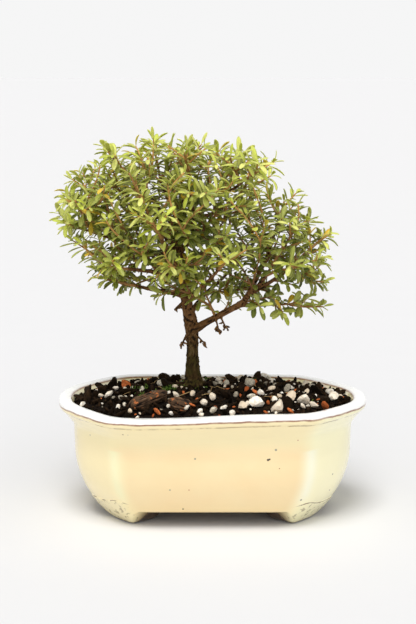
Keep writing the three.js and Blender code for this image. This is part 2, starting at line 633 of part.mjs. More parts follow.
const bonsai = new THREE.Group();
bonsai.add(meshOf("pot", makePot(), "glaze"));
bonsai.add(meshOf("soil", makeSoil(), "soil"));
bonsai.add(meshOf("trunk", makeWood(), "bark"));
bonsai.add(meshOf("drain_screen_left", makeScreen(-1), "screen"));
bonsai.add(meshOf("drain_screen_right", makeScreen(1), "screen"));
CHIPS.forEach((chip, i) => bonsai.add(meshOf(`bark_chip_${i + 1}`, chipSolid(chip), "bark")));
makeShoots().forEach((shoot, i) => {
  const number = String(i + 1).padStart(2, "0");
  bonsai.add(meshOf(`shoot_${number}`, shoot, "leaf"));
});

// The origin is under the middle of the whole object's box.
const box = new THREE.Box3().setFromObject(bonsai);
const middle = box.getCenter(new THREE.Vector3());
bonsai.position.set(-middle.x, -middle.y, -box.min.z);

export default bonsai;
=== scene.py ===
"""Bahama berry bonsai in its cream glazed pot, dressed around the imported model.

Lengths are millimetres in the pot's own frame, with its origin on the table under the pot's centre, +Z up
and the front towards -Y. Meshes are turned into metres in the model's frame as they are made.
"""

import math

import bmesh
import bpy
import numpy as np
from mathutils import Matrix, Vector, kdtree, noise


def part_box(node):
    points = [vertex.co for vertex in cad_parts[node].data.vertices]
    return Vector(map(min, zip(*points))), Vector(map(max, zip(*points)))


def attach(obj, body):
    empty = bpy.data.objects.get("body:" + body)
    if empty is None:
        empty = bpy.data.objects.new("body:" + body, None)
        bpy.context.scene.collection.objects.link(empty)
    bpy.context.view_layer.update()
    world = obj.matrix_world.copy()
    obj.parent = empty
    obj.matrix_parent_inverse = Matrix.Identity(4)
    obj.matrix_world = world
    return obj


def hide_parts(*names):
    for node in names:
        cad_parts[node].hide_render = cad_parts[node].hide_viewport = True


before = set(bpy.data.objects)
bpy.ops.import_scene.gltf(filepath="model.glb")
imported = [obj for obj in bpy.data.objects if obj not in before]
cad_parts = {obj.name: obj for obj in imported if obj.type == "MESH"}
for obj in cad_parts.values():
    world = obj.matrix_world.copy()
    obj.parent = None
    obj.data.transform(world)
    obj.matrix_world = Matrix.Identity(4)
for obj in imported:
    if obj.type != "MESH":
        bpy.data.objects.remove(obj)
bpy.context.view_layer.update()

MM = 0.001
pot_low, pot_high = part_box("pot")
POT_CENTRE = np.array([(pot_low.x + pot_high.x) / 2, (pot_low.y + pot_high.y) / 2, 0])

# Pot: the outline is eight-sided, given by how far its long, short and cut sides lie from the centre.
POT_HEIGHT = 77.5
RIM_HALF_LENGTH = 101.5
RIM_HALF_WIDTH = 67
RIM_CUT_SIDE = 92
CUT_SIDE_TURN = 0.71
CORNER_SHARPNESS = 18
RIM_OVERHANG = 9.8
RIM_SAG = 0.8
WALL = 5.5
BOWL_TOP = 46
BOWL_INSET = 20
BOWL_POWER = 2.1
FLOOR_TOP = 16
INNER_HEIGHTS = (BOWL_TOP, 38, 30, 24, 21, 18, FLOOR_TOP)
FOOT_HEIGHT = 11
FOOT_WIDTH = 10
FOOT_EDGE = 0.9
FOOT_PROUD = 0.7
FRONT_ARCH = 53
SIDE_ARCH = 23
ARCH_SHOULDER = 15
ARCH_TOP = FOOT_HEIGHT - 0.3
# The arch's heights at which a foot starts and is full.
FOOT_ARCH = (10.4, 5)
DRAIN_RADIUS = 8
DRAIN_X = 42
POT_SIDES = 360
WALL_RINGS = 60
RIM_STEP = 0.45
# The crease above each foot: how high it lies, its rise at an angle, and how much higher it is on the left.
CREASE_HEIGHT = 12.4
CREASE_RISE = 3.8
CREASE_TURN = 0.63
CREASE_SPREAD = 0.15
CREASE_LEFT = 1.8
# Painted light on the glaze: a band of painted highlight down each corner of the front and back, and paler
# painted light on the short sides past it.
CORNER_TURN = 0.7
CORNER_SPREAD = 0.055
CORNER_HIGHLIGHT_SHARE = 0.6
FLANK_TURNS = (0.82, 0.65)
FLANK_LIGHT_SHARE = 0.8

# The rim, from the cove under it over the top to the inside: (in from the edge, below the top).
RIM_PROFILE = [
    (9.6, 25), (9.2, 17), (7.2, 13), (4.6, 9.6), (2.6, 7.2), (1.1, 5.8), (0.4, 4.9), (0, 3.6), (0, 2.2),
    (0.2, 1), (0.6, 0.35), (1.4, 0), (4.2, -0.15), (6.8, 0), (7.7, 0.3), (8.3, 0.9), (9.2, 2.4), (11.2, 6),
    (14.2, 13),
]
RIM_TOP = 5
LIP_EDGE = 3
INNER_EDGE = 0.8

# Pinholes and stains of the glaze: x, y, z, radius and colour.
DARK = (0.03, 0.018, 0.01)
GREY = (0.3, 0.29, 0.22)
BROWN = (0.2, 0.07, 0.03)
PINK = (0.55, 0.22, 0.14)
GLAZE_MARKS = [
    (34.6, -57.2, 48.6, 1.05, DARK), (35.6, -57.2, 49.0, 0.8, DARK), (39.5, -57.4, 55.1, 1.0, GREY),
    (41.8, -56.9, 43.0, 0.5, BROWN), (53.3, -56.9, 61.1, 0.6, PINK), (77.3, -33.4, 32.7, 0.8, GREY),
    (76.0, -28.1, 20.5, 0.7, BROWN), (56.1, -48.4, 20.0, 1.0, GREY), (-11.1, -57.3, 49.3, 0.8, GREY),
    (-27.0, -54.5, 28.3, 0.7, GREY), (-15.0, -54.5, 28.3, 0.6, PINK), (-18.9, -47.7, 13.8, 0.8, DARK),
    (-55.9, -59.3, 65.9, 1.0, BROWN), (-52.8, -59.8, 65.7, 0.8, GREY), (-78.5, -35.1, 59.0, 0.6, GREY),
    (62.0, 30.0, 40.0, 0.6, BROWN), (-30.0, 57.0, 47.0, 0.7, GREY), (24.0, 55.5, 34.0, 0.5, DARK),
    (-84.0, 10.0, 42.0, 0.6, BROWN),
]

# Soil. It meets the wall where the rim's inside runs from its lip to its throat.
RIM_LIP = (8.3, 0.9)
RIM_THROAT = (11.2, 6)
SOIL_CLEARANCE = 0.5
SOIL_BELOW_RIM = 2.8
SOIL_MOUND = 9
SOIL_MOUND_POWER = 3.2
SOIL_ROUGHNESS = 0.7
SOIL_BACK = 2.5
SOIL_SEED = 21
BED_SIDES = 200
BED_CIRCLES = 48
# The larger stones in front, by kind: x, y and radius.
STONES = {
    "soil_perlite": [
        (-68, -15, 2.9), (-73, -12, 1.9), (-84, -21, 2.0), (-64, 0, 1.9), (-60, -37, 1.7), (-52, -47, 1.6),
        (-25, -9, 2.1), (-24, -27, 2.2), (-20, -5, 1.4), (-13, -25, 2.1), (-17, -47, 2.4), (-8, -50, 2.0),
        (-6, -41, 2.5), (0, -35, 3.2), (-7, -54, 1.6), (-26, -52, 1.6), (7, -47, 2.0), (12, -54, 2.2),
        (19, -47, 3.4), (28, -44, 4.3), (31, -26, 3.1), (23, -21, 1.7), (41, -49, 4.2), (39, -36, 2.1),
        (43, -28, 1.8), (50, -30, 4.4), (58, -33, 4.2), (57, -42, 2.0), (64, -37, 2.9), (62, -11, 2.1),
        (78, -16, 3.6), (77, 0, 2.5), (84, -5, 2.1), (38, -15, 2.7), (22, -43, 2.4),
    ],
    "soil_pumice": [
        (-59, -24, 2.5), (-57, -7, 2.1), (-56, -38, 1.8), (-46, -8, 1.8), (-34, 2, 3.0), (0, -51, 2.5),
        (5, 2, 2.1), (25, -33, 2.7), (24, 0, 3.6), (49, -10, 2.7), (66, 8, 2.4), (15, -28, 2.0), (36, 4, 1.8),
        (13, -8, 1.4), (-39, -19, 1.3),
    ],
    "soil_clay_bits": [
        (9, -13, 1.5), (22, -16, 1.8), (28, -21, 2.0), (37, -31, 1.4), (35, -41, 1.3), (33, -53, 1.8),
        (49, -52, 2.4), (72, -36, 2.9), (86, -6, 1.3), (2, -46, 1.4), (-10, -34, 1.5), (-13, -44, 2.2),
        (-35, -50, 2.3), (-57, 8, 3.2), (-18, -22, 1.3), (73, 9, 1.3), (68, -25, 1.5),
    ],
}
STONE_LIFT = 0.5
# Each kind of grain: how flat it is, and the number and sharpness of its faces.
GRAIN_KINDS = {
    "soil_bark_bits": ((1.5, 0.85, 0.5), 8, 20),
    "soil_perlite": ((1.25, 0.96, 0.76), 11, 9),
    "soil_pumice": ((1.2, 0.95, 0.75), 10, 11),
    "soil_clay_bits": ((1.4, 0.8, 0.42), 8, 14),
}
# Its look: name, darkest and lightest colour, and size of its spots.
GRAIN_LOOKS = {
    "soil_bark_bits": ("soil_bark", (0.003, 0.002, 0.001), (0.036, 0.02, 0.01), 1.6),
    "soil_perlite": ("soil_perlite", (0.66, 0.53, 0.38), (1.0, 0.96, 0.86), 1.8),
    "soil_pumice": ("soil_pumice", (0.27, 0.23, 0.17), (0.85, 0.77, 0.62), 1.1),
    "soil_clay_bits": ("soil_clay", (0.3, 0.07, 0.02), (0.75, 0.22, 0.07), 1.2),
}
# What is strewn between the stones, largest first: kind, how many are tried, radius, and how much more of it
# lies on the right than on the left. The first ones, as large as the stones, are strewn at the back only.
STREWN = [
    ("soil_perlite", 60, (2.0, 4.0), 0.7),
    ("soil_pumice", 40, (1.8, 3.2), 0.3),
    ("soil_clay_bits", 26, (1.3, 2.6), 0.4),
    ("soil_bark_bits", 90, (3.0, 5.0), -0.2),
    ("soil_bark_bits", 1100, (1.5, 3.0), 0),
    ("soil_clay_bits", 60, (0.8, 1.4), 0.3),
    ("soil_perlite", 260, (0.8, 1.5), 0.5),
    ("soil_pumice", 160, (0.8, 1.4), 0.3),
    ("soil_bark_bits", 3600, (0.7, 1.5), 0),
]
STREWN_BEHIND = 3
STREWN_X = 93
STREWN_Y = 59
# How close two grains may lie, as a share of their radii, and how high they lie, as a share of their own.
GRAIN_CLOSE = 0.84
GRAIN_LIFT = (-0.1, 0.5)
GRAIN_MARGIN = 0.7
GRAIN_BACK_MARGIN = 2
# Moss and seedlings: x, y, how wide the tuft is, its number of blades and how tall they are.
MOSS = [
    (-29, -13, 4, 34, 2.2), (-27, -5, 5, 30, 1.8), (-19, 0, 4, 30, 2.4), (-48, -6, 8, 20, 2.2),
    (-47, -23, 5, 14, 2.4), (-3, 22, 4, 18, 2.4), (60, -30, 3, 14, 2.0), (-6, -8, 4, 12, 1.4),
    (30, 24, 6, 16, 1.8),
]
FIBRES = 26
FIBRE_LENGTH = (5, 13)

# Bark chips on the soil: place, (length, width, height), turn and tilt in degrees.
CHIPS = [
    ((-41, -35), (28, 10, 7), 42, 10),
    ((-21, -42), (15, 10, 7), -40, -8),
]
CHIP_RINGS = 70
CHIP_SIDES = 56

# Wood: the trunk and limbs as (x, y, z, radius) from root to tip.
TRUNK = [
    (-12.4, 2, 56, 4.8), (-12.5, 2, 76, 5.6), (-12.6, 2, 84, 6.6), (-12.9, 2, 91, 5.2), (-13.3, 2, 101, 4.2),
    (-13.2, 2, 113, 3.9), (-14, 2, 124, 4.6), (-16.2, 2, 135, 3.8), (-18.5, 3, 148, 3.5), (-20.8, 4, 163, 3),
    (-21.3, 5, 180, 2.4), (-16.5, 5.6, 188, 2),
]
LIMBS = [
    [(-16.5, 5.6, 188, 2), (-9, 6, 197, 1.8), (-0.3, 5, 210, 1.5), (6, 3, 218, 0.9)],
    [(-14, 1.6, 120, 2.6), (2, -3, 130, 2.2), (18.5, -8, 140, 2.1), (24.5, -10, 147, 1.6),
     (33, -14, 157, 1.2), (38, -17, 166, 0.9)],
    [(20, -8.5, 141, 1.7), (29, -3, 156, 1.4), (37, 7, 172, 1.2), (42, 14, 187, 0.9)],
    [(24.5, -10, 147, 1.5), (38, -11, 155, 1.3), (48, -8, 162, 1.1), (54, -5, 167, 0.8)],
    [(17, -7.6, 139, 1.5), (33, -2, 138, 1.2), (45, 4, 138, 1), (51, 6, 137, 0.7)],
    [(-17, 2, 143, 2.2), (-27, 0, 146, 1.7), (-40, -6, 149, 1.4), (-50, -10, 152, 0.9)],
    [(-19.5, 3, 156, 2), (-32, -8, 160, 1.6), (-44, -19, 163, 1.4), (-54, -26, 165, 1.1)],
    [(-21, 4, 165, 1.9), (-45, 5, 175, 1.6), (-68, 3, 182, 1.2), (-82, 0, 187, 0.8)],
    [(-21.3, 5, 177, 1.8), (-42, 9, 189, 1.4), (-61, 11, 196, 1.1), (-75, 12, 200, 0.8)],
    [(-20, 5, 182, 1.7), (-32, 2, 198, 1.4), (-43, -2, 211, 1.1), (-50, -4, 219, 0.8)],
    [(-12, 6, 193, 1.5), (-14, 0, 206, 1.3), (-14, -7, 216, 1.1), (-15, -13, 223, 0.8)],
    [(-18.5, 2, 148, 2), (-22, -15, 163, 1.5), (-28, -30, 176, 1.2), (-32, -40, 186, 0.8)],
    [(-17, 2, 138, 2), (-9, -16, 150, 1.4), (-1, -32, 160, 1.1), (4, -41, 167, 0.8)],
    [(-20.5, 4, 160, 2), (-21, 22, 174, 1.5), (-23, 37, 189, 1.2), (-25, 45, 200, 0.8)],
    [(-14, 6, 191, 1.5), (2, 18, 197, 1.3), (14, 28, 203, 1.1), (21, 34, 208, 0.8)],
    [(-21, 5, 171, 1.8), (-36, 24, 184, 1.4), (-50, 36, 193, 1.1), (-58, 42, 199, 0.8)],
    [(-2, 5.2, 208, 1.3), (12, 0, 213, 1.1), (21, -5, 220, 0.8)],
    [(-15.5, 2, 131, 2), (-5, 18, 142, 1.4), (7, 31, 151, 1.1), (14, 38, 158, 0.8)],
    [(-19, 3, 151, 1.9), (-33, 20, 157, 1.4), (-46, 30, 164, 1.1), (-54, 35, 170, 0.8)],
    [(-20, 4, 185, 1.6), (-28, 18, 202, 1.3), (-34, 26, 216, 1.1), (-36, 29, 225, 0.8)],
]
ROOTS = [
    [(-12.6, 2, 87, 2.6), (-19, -3, 83.5, 1.8), (-27, -7, 81.5, 1.2), (-33, -9, 78, 0.8)],
    [(-12.6, 2, 87, 2.6), (-6, 7, 83.6, 1.8), (1, 11, 81.5, 1.2), (7, 13, 78, 0.8)],
    [(-12.6, 2, 86, 2.6), (-9, -6, 83.4, 1.7), (-5, -13, 81, 1.1), (-2, -18, 78, 0.8)],
]
SNAGS = [
    [(-16, 0, 120, 1), (-20.5, -2, 111, 0.7)],
    [(-11, 0, 118, 0.9), (-5.5, -3, 113, 0.6)],
    [(2, -3, 129, 0.9), (4, -5, 122, 0.6)],
    [(5, -4, 131, 0.9), (9, -7, 123, 0.6)],
    [(-19, 1, 140, 1), (-24, -3, 136, 0.7)],
]
WOOD_STEP = 1.2
WOOD_VOXEL = 0.5
LIMB_SWELL = 0.35
LIMB_SWELL_LENGTH = 4
# Bark: how deep the furrows are, and how wide the furrows and the plates between them.
BARK_DEPTH = 0.17
FURROW_WIDTH = 1.5
PLATE_WIDTH = 3.4
WITHERED_EACH = 9
WITHERED_LENGTH = (2.5, 5.5)

# Crown: three rounded masses, which the shoots fill out to their surface. A mass keeps only the tips that
# lie further out in each of the others than its own free_of.
CROWN = [
    dict(centre=np.array([-28, 2, 198]), half=np.array([73, 60, 50]), power=2.7, shoots=26, free_of=0.75),
    dict(centre=np.array([38, -2, 172]), half=np.array([41, 42, 45]), power=2.4, shoots=12, free_of=0.95),
    dict(centre=np.array([-36, 0, 168]), half=np.array([44, 46, 28]), power=2.4, shoots=8, free_of=0.85),
]
SHOOT_SEED = 7
TIP_INSET = 7
TIP_SPACING = 19
END_SHOOT = (13, 32)
SHOOT_REACH = (20, 62)
ROOT_SPACING = 6
STEM_RADIUS = (1.15, 0.6)
# The solid shoots' twigs, as (share of the stem, length), and their leaves.
TWIGS = [(0.5, 16), (0.74, 13)]
SOLID_BARE_STEM = 0.35
SOLID_PAIR_SPACING = 7.2

# What the fine shoots add: more twigs, closer pairs and thinner blades. The radii are those of a twig drawn
# through that many places.
TWIG_RADII = {2: (0.8, 0.45), 3: (0.8, 0.5, 0.45)}
BARE_STEM = 0.1
BARE_TWIG = 0.16
TWIG_STEP = 8
TWIG_SHARES = (0.14, 0.92)
FINE_TWIG_LENGTH = (9, 17)
# Twigs fill the crown at this spacing, out to this reach of its masses, this clear of other wood.
FILL_STEP = 11
FILL_REACH = 0.88
FILL_CLEAR = 8.5
FILL_LONGEST = 26
# Where the crown is open from front to back: x, z and radius.
OPEN_SPOTS = [
    (22, 192, 7), (21, 177, 5), (23, 161, 8), (15, 151, 7), (5, 153, 5), (33, 203, 6), (46, 148, 7),
    (57, 153, 6), (-21, 186, 5), (-51, 158, 4), (-71, 161, 5), (-86, 209, 6), (42, 206, 6), (64, 183, 5),
    (70, 144, 7),
]
# Patches of painted shade and painted light on the leaves, beyond what their place alone gives them: place,
# radius, change of light.
LIGHT_SPOTS = [((4, -22, 172), 24, -0.35), ((-33, -42, 187), 15, 0.5), ((34, -16, 172), 10, 0.3)]
PAIR_SPACING = (1.9, 4.5)
# Lengths and widths of a leaf, and how far from the tip it is still young, or a bud.
YOUNG_LEAF = (12.8, 3.6)
OLD_LEAF = (8.2, 3.8)
YOUNG_REACH = 6.5
BUD_REACH = 1.6
# How level the leaves lie, as shares of their run along each axis, and how much their faces turn up.
LEAF_LEVEL = (1, 1, 0.75)
LEAF_UP = np.array([0, 0, 1.3])
LEAF_THICKNESS = 0.3
AGE_SPREAD = 0.24
# A leaf's outline as (share of its length, share of its half width).
LEAF_OUTLINE = [
    (0, 0.14), (0.08, 0.2), (0.24, 0.58), (0.44, 0.9), (0.64, 1), (0.82, 0.86), (0.94, 0.52), (1, 0.14),
]
LEAF_ACROSS = (-1, -0.5, 0, 0.5, 1)


# Arithmetic

def unit(v):
    return v / np.linalg.norm(v, axis=-1, keepdims=True)


def between(ends, t):
    return ends[0] + (ends[1] - ends[0]) * t


def smooth_step(value, low, high):
    t = np.clip((value - low) / (high - low), 0, 1)
    return t * t * (3 - 2 * t)


def bell(off, spread):
    return np.exp(-((off / spread) ** 2))


def up(height):
    return np.array([0, 0, height])


def turned_in_plane(a, b, degrees):
    cos, sin = math.cos(math.radians(degrees)), math.sin(math.radians(degrees))
    return a * cos - b * sin, a * sin + b * cos


def random_stream(seed):
    """The same repeatable stream of numbers from 0 to 1 that the solids use."""
    state = seed * 2654435761 & 0xFFFFFFFF
    while True:
        state = (state * 1664525 + 1013904223) & 0xFFFFFFFF
        yield state / 4294967296


def rough(points, size, octaves):
    """Fractal noise, about -1 to 1, at each point, with features of that size."""
    return np.array([noise.fractal(Vector(p), 1.0, 2.0, octaves) for p in points / size])


def on_curve(points, t):
    """The point on a smooth curve through points, for t from 0 to the number of spans."""
    spans = len(points) - 1
    k = min(int(t), spans - 1)
    u = t - k
    before = points[k - 1] if k > 0 else 2 * points[0] - points[1]
    after = points[k + 2] if k + 2 <= spans else 2 * points[spans] - points[spans - 1]
    rise = points[k + 1] - points[k]
    slope = (points[k + 1] - before) / 2
    next_slope = (after - points[k]) / 2
    square = 3 * rise - 2 * slope - next_slope
    return points[k] + slope * u + square * u * u + (slope + next_slope - 2 * rise) * u**3


def way_at(points, t):
    """The way that a curve runs at t."""
    ahead = on_curve(points, min(t + 0.05, len(points) - 1))
    behind = on_curve(points, max(t - 0.05, 0))
    return unit((ahead - behind)[:3])


def off_axis(way):
    """An axis of the frame that a way doesn't run along."""
    return np.array([1.0, 0, 0]) if abs(way[2]) > 0.9 else np.array([0, 0, 1.0])


def line_length(points):
    return float(np.linalg.norm(np.diff(points[:, :3], axis=0), axis=1).sum())


def fine_line(points, step):
    """A curve's points about step apart."""
    points = np.asarray(points, float)
    count = max(2, round(line_length(points) / step))
    return np.array([on_curve(points, (len(points) - 1) * i / count) for i in range(count + 1)])


# Meshes

def add_object(name, data):
    made = bpy.data.objects.new(name, data)
    bpy.context.scene.collection.objects.link(made)
    return made


class Shape:
    """Points, faces and values for each point, gathered from many parts into one mesh."""

    def __init__(self, **plain):
        """Plain holds the values of a part that names none of its own."""
        self.plain = plain
        self.points, self.faces, self.materials, self.values = [], [], [], {}
        self.size = 0

    def add(self, points, faces=(), material=0, **values):
        points = np.asarray(points, float).reshape(-1, 3)
        self.points.append(points)
        self.faces += [[i + self.size for i in face] for face in faces]
        self.materials += [material] * len(faces)
        for name, value in {**self.plain, **values}.items():
            self.values.setdefault(name, []).append(np.broadcast_to(value, len(points)))
        self.size += len(points)

    def tube(self, line, sides, material=0, **values):
        """A tube round a line of (x, y, z, radius) points."""
        rings, across = [], None
        turn = np.arange(sides)[:, None] * 2 * math.pi / sides
        for i, point in enumerate(line):
            along = unit(line[min(i + 1, len(line) - 1), :3] - line[max(i - 1, 0), :3])
            across = off_axis(along) if across is None else across
            across = unit(across - along * np.dot(across, along))
            side = np.cross(along, across)
            rings.append(point[:3] + point[3] * (across * np.cos(turn) + side * np.sin(turn)))
        self.add(rings, ring_faces(len(line), sides), material, **values)

    def make(self, name, *materials, smooth=True):
        mesh = bpy.data.meshes.new(name)
        mesh.from_pydata((np.concatenate(self.points) * MM + POT_CENTRE).tolist(), [], self.faces)
        for value_name, parts in self.values.items():
            add_value(mesh, value_name, np.concatenate(parts))
        for material in materials:
            mesh.materials.append(material)
        mesh.polygons.foreach_set("material_index", self.materials)
        mesh.polygons.foreach_set("use_smooth", [smooth] * len(mesh.polygons))
        mesh.update()
        return add_object(name, mesh)


def add_value(mesh, name, values):
    mesh.attributes.new(name, "FLOAT", "POINT").data.foreach_set("value", values.astype(np.float32))


def ring_faces(rings, sides, closed=True):
    """Quads between rings of points, each anticlockwise seen from ahead, and the two ends."""
    faces = []
    for i in range(rings - 1):
        for j in range(sides):
            low, next_low = i * sides + j, i * sides + (j + 1) % sides
            faces.append([low, next_low, next_low + sides, low + sides])
    if closed:
        faces.append(list(range(sides))[::-1])
        faces.append([(rings - 1) * sides + j for j in range(sides)])
    return faces


def apply_modifiers(piece):
    """Puts what the modifiers make in the piece's own mesh."""
    graph = bpy.context.evaluated_depsgraph_get()
    made = bpy.data.meshes.new_from_object(piece.evaluated_get(graph))
    piece.modifiers.clear()
    piece.data = made


# Materials

class Nodes:
    """A tree of shader nodes. An input is a number, a colour, a vector or another node's output."""

    def __init__(self, tree):
        self.tree = tree

    def set(self, socket, value):
        if isinstance(value, bpy.types.NodeSocket):
            self.tree.links.new(value, socket)
        else:
            socket.default_value = (*value, 1) if socket.type == "RGBA" else value

    def node(self, kind, inputs=None, **settings):
        node = self.tree.nodes.new("ShaderNode" + kind)
        for name, value in settings.items():
            setattr(node, name, value)
        for name, value in (inputs or {}).items():
            self.set(node.inputs[name], value)
        return node

    def math(self, operation, a, b=0.0):
        return self.node("Math", {0: a, 1: b}, operation=operation).outputs[0]

    def times(self, a, b):
        return self.math("MULTIPLY", a, b)


class Look(Nodes):
    """A material, whose colour is painted in layers from noise and from the values of its mesh."""

    def __init__(self, name):
        self.material = bpy.data.materials.new(name)
        self.material.use_nodes = True
        super().__init__(self.material.node_tree)
        self.tree.nodes.clear()
        self.place = self.node("TexCoord").outputs["Object"]

    def value(self, name):
        return self.node("Attribute", attribute_name=name).outputs["Fac"]

    def axis(self, name):
        """The place along an axis in mm."""
        return self.math("DIVIDE", self.node("SeparateXYZ", {0: self.place}).outputs[name], MM)

    def noise(self, size, detail, roughness=0.5, stretch=(1, 1, 1)):
        """Noise from 0 to 1, with features of that size in mm."""
        place = self.node("Mapping", {"Vector": self.place, "Scale": stretch}).outputs[0]
        inputs = {"Vector": place, "Scale": 1 / (size * MM), "Detail": detail, "Roughness": roughness}
        return self.node("TexNoise", inputs).outputs["Fac"]

    def step(self, value, low, high, to=(0, 1)):
        inputs = {"Value": value, "From Min": low, "From Max": high, "To Min": to[0], "To Max": to[1]}
        return self.node("MapRange", inputs, interpolation_type="SMOOTHSTEP").outputs[0]

    def ridge(self, value, centre, width):
        """1 where value is at centre, and 0 beyond width from it."""
        return self.step(self.math("ABSOLUTE", self.math("SUBTRACT", value, centre)), 0, width, (1, 0))

    def near(self, spot, radius):
        """1 at a place in the pot's frame, and 0 beyond radius from it."""
        at = tuple(np.array(spot) * MM + POT_CENTRE)
        far = self.node("VectorMath", {0: self.place, 1: at}, operation="DISTANCE").outputs["Value"]
        return self.step(far, radius * 0.4 * MM, radius * MM, (1, 0))

    def mix(self, share, a, b):
        return self.node("Mix", {0: share, 6: a, 7: b}, data_type="RGBA").outputs[2]

    def paint(self, share, shade):
        """Lays a colour over what is painted so far."""
        self.colour = self.mix(share, self.colour, shade)

    def surface(self, roughness, bumps=None, through=None, share=0, **inputs):
        """A plain surface, or one mixed with light that comes through it.

        Bumps are their height, its distance in mm and its strength.
        """
        inputs = {name.replace("_", " "): value for name, value in inputs.items()}
        inputs |= {"Base Color": self.colour, "Roughness": roughness}
        if bumps is not None:
            height, distance, strength = bumps
            relief = {"Height": height, "Distance": distance * MM, "Strength": strength}
            inputs["Normal"] = self.node("Bump", relief).outputs[0]
        shader = self.node("BsdfPrincipled", inputs).outputs[0]
        if through is not None:
            passed = self.node("BsdfTranslucent", {"Color": through}).outputs[0]
            shader = self.node("MixShader", {0: share, 1: shader, 2: passed}).outputs[0]
        self.node("OutputMaterial", {"Surface": shader})
        return self.material


def glaze_look():
    look = Look("cream_glaze")
    height, fine = look.axis("Z"), look.noise(1.6, 4)
    right = look.step(look.axis("X"), -40, 40)
    look.colour = look.mix(look.noise(26, 2), (0.9, 0.67, 0.36), (0.92, 0.76, 0.45))
    look.paint(look.step(height, 50, 62), (0.97, 0.84, 0.5))
    look.paint(look.step(height, 24, 4, (0, 0.5)), (0.9, 0.71, 0.33))
    # Painted light: the short sides are painted paler, and the corners carry a painted highlight, both whiter
    # on the right.
    look.paint(look.value("lit_flank"), look.mix(right, (1.0, 0.87, 0.5), (1.0, 0.97, 0.64)))
    look.paint(look.value("corner"), look.mix(right, (0.92, 0.93, 0.6), (0.96, 0.97, 0.82)))
    # The rim's top is painted near-white: painted light where it turns up to the lamps.
    look.paint(look.value("rim"), (0.95, 0.95, 0.91))
    # The inside is painted a paler cream, partly as painted light against the shade of the crown.
    look.paint(look.value("inside"), (1.0, 0.91, 0.58))

    # The glaze runs thin and brown along the lip's edges, and a line of painted shade lies in the cove under
    # the lip.
    patchy = look.step(look.noise(7, 3), 0.36, 0.6)
    wobble = look.times(look.math("SUBTRACT", look.noise(11, 3), 0.5), 1.6)
    profile = look.math("ADD", look.value("profile"), wobble)
    inner = look.math("ADD", look.value("inner"), look.times(wobble, 0.3))
    look.paint(look.times(look.ridge(profile, 0, 1), look.step(patchy, 0, 1, (0.8, 1))), (0.24, 0.08, 0.035))
    look.paint(look.times(look.ridge(profile, -3.4, 0.8), look.times(patchy, 0.8)), (0.26, 0.16, 0.08))
    look.paint(look.times(look.ridge(inner, 0, 1), look.step(patchy, 0, 1, (0.75, 1))), (0.3, 0.13, 0.04))

    # Feet: a greenish glaze, a dark crease above it, broken on the left, and stains.
    above = look.value("above_crease")
    foot = look.times(look.value("foot"), look.step(above, 0, -1.2))
    look.paint(look.times(foot, 0.3), (0.75, 0.7, 0.42))
    broken = look.math("MAXIMUM", right, look.step(look.noise(5, 3), 0.45, 0.56))
    thick = look.step(look.noise(9, 2), 0.35, 0.65, (0.25, 0.5))
    crease = look.step(look.math("DIVIDE", look.math("ABSOLUTE", above), thick), 0.4, 1, (0.9, 0))
    look.paint(look.times(look.times(crease, look.value("foot")), broken), (0.17, 0.1, 0.045))
    look.paint(look.times(foot, look.step(look.noise(3.2, 4), 0.53, 0.65, (0, 0.6))), (0.17, 0.11, 0.05))
    for *spot, radius, shade in GLAZE_MARKS:
        look.paint(look.near(spot, radius), shade)
    look.paint(look.step(look.noise(2.1, 2), 0.8, 0.84, (0, 0.35)), (0.35, 0.2, 0.1))

    # Bare clay underneath and at the soles, painted very dark: partly the clay's own brown, partly painted
    # shade under the pot.
    clay = look.mix(look.noise(4, 3), (0.05, 0.025, 0.01), (0.1, 0.055, 0.025))
    look.paint(look.math("MAXIMUM", look.value("under"), look.step(height, 1.5, 0.4)), clay)
    waves = look.math("ADD", look.noise(14, 2), look.times(fine, 0.06))
    roughness = look.step(fine, 0.3, 0.7, (0.16, 0.26))
    return look.surface(roughness, (waves, 0.5, 0.5), Coat_Weight=0.6, Coat_Roughness=0.06)


def bark_look():
    look = Look("bark")
    height, groove = look.axis("Z"), look.value("groove")
    low = look.step(height, 122, 96)
    look.colour = look.mix(look.noise(2.5, 4), (0.05, 0.022, 0.008), (0.13, 0.066, 0.024))
    look.paint(look.step(look.noise(1.1, 3), 0.5, 0.75), (0.22, 0.125, 0.055))
    look.paint(look.step(height, 116, 138, (0, 0.65)), (0.23, 0.11, 0.042))
    look.paint(look.times(low, look.step(look.noise(4, 4), 0.38, 0.62, (0.15, 0.8))), (0.1, 0.09, 0.02))
    look.paint(look.times(low, 0.65), (0.026, 0.016, 0.005))
    look.paint(look.step(groove, 0.05, -0.5), (0.012, 0.007, 0.004))
    look.paint(look.step(groove, 0.25, 0.8, (0, 0.3)), (0.34, 0.23, 0.12))
    bumps = (look.noise(0.7, 4, 0.6, (1, 1, 0.4)), 0.3, 0.6)
    return look.surface(0.85, bumps, Specular_IOR_Level=0.06)


def twig_look():
    look = Look("young_bark")
    # Twigs are painted from orange to dark by their age and by painted shade deep in the crown.
    look.colour = look.mix(look.value("age"), (0.6, 0.32, 0.09), (0.24, 0.115, 0.04))
    look.paint(look.step(look.noise(2.2, 3), 0.4, 0.7, (0, 0.6)), (0.34, 0.18, 0.065))
    return look.surface(0.6, (look.noise(0.6, 3), 0.12, 0.5), Specular_IOR_Level=0.25)


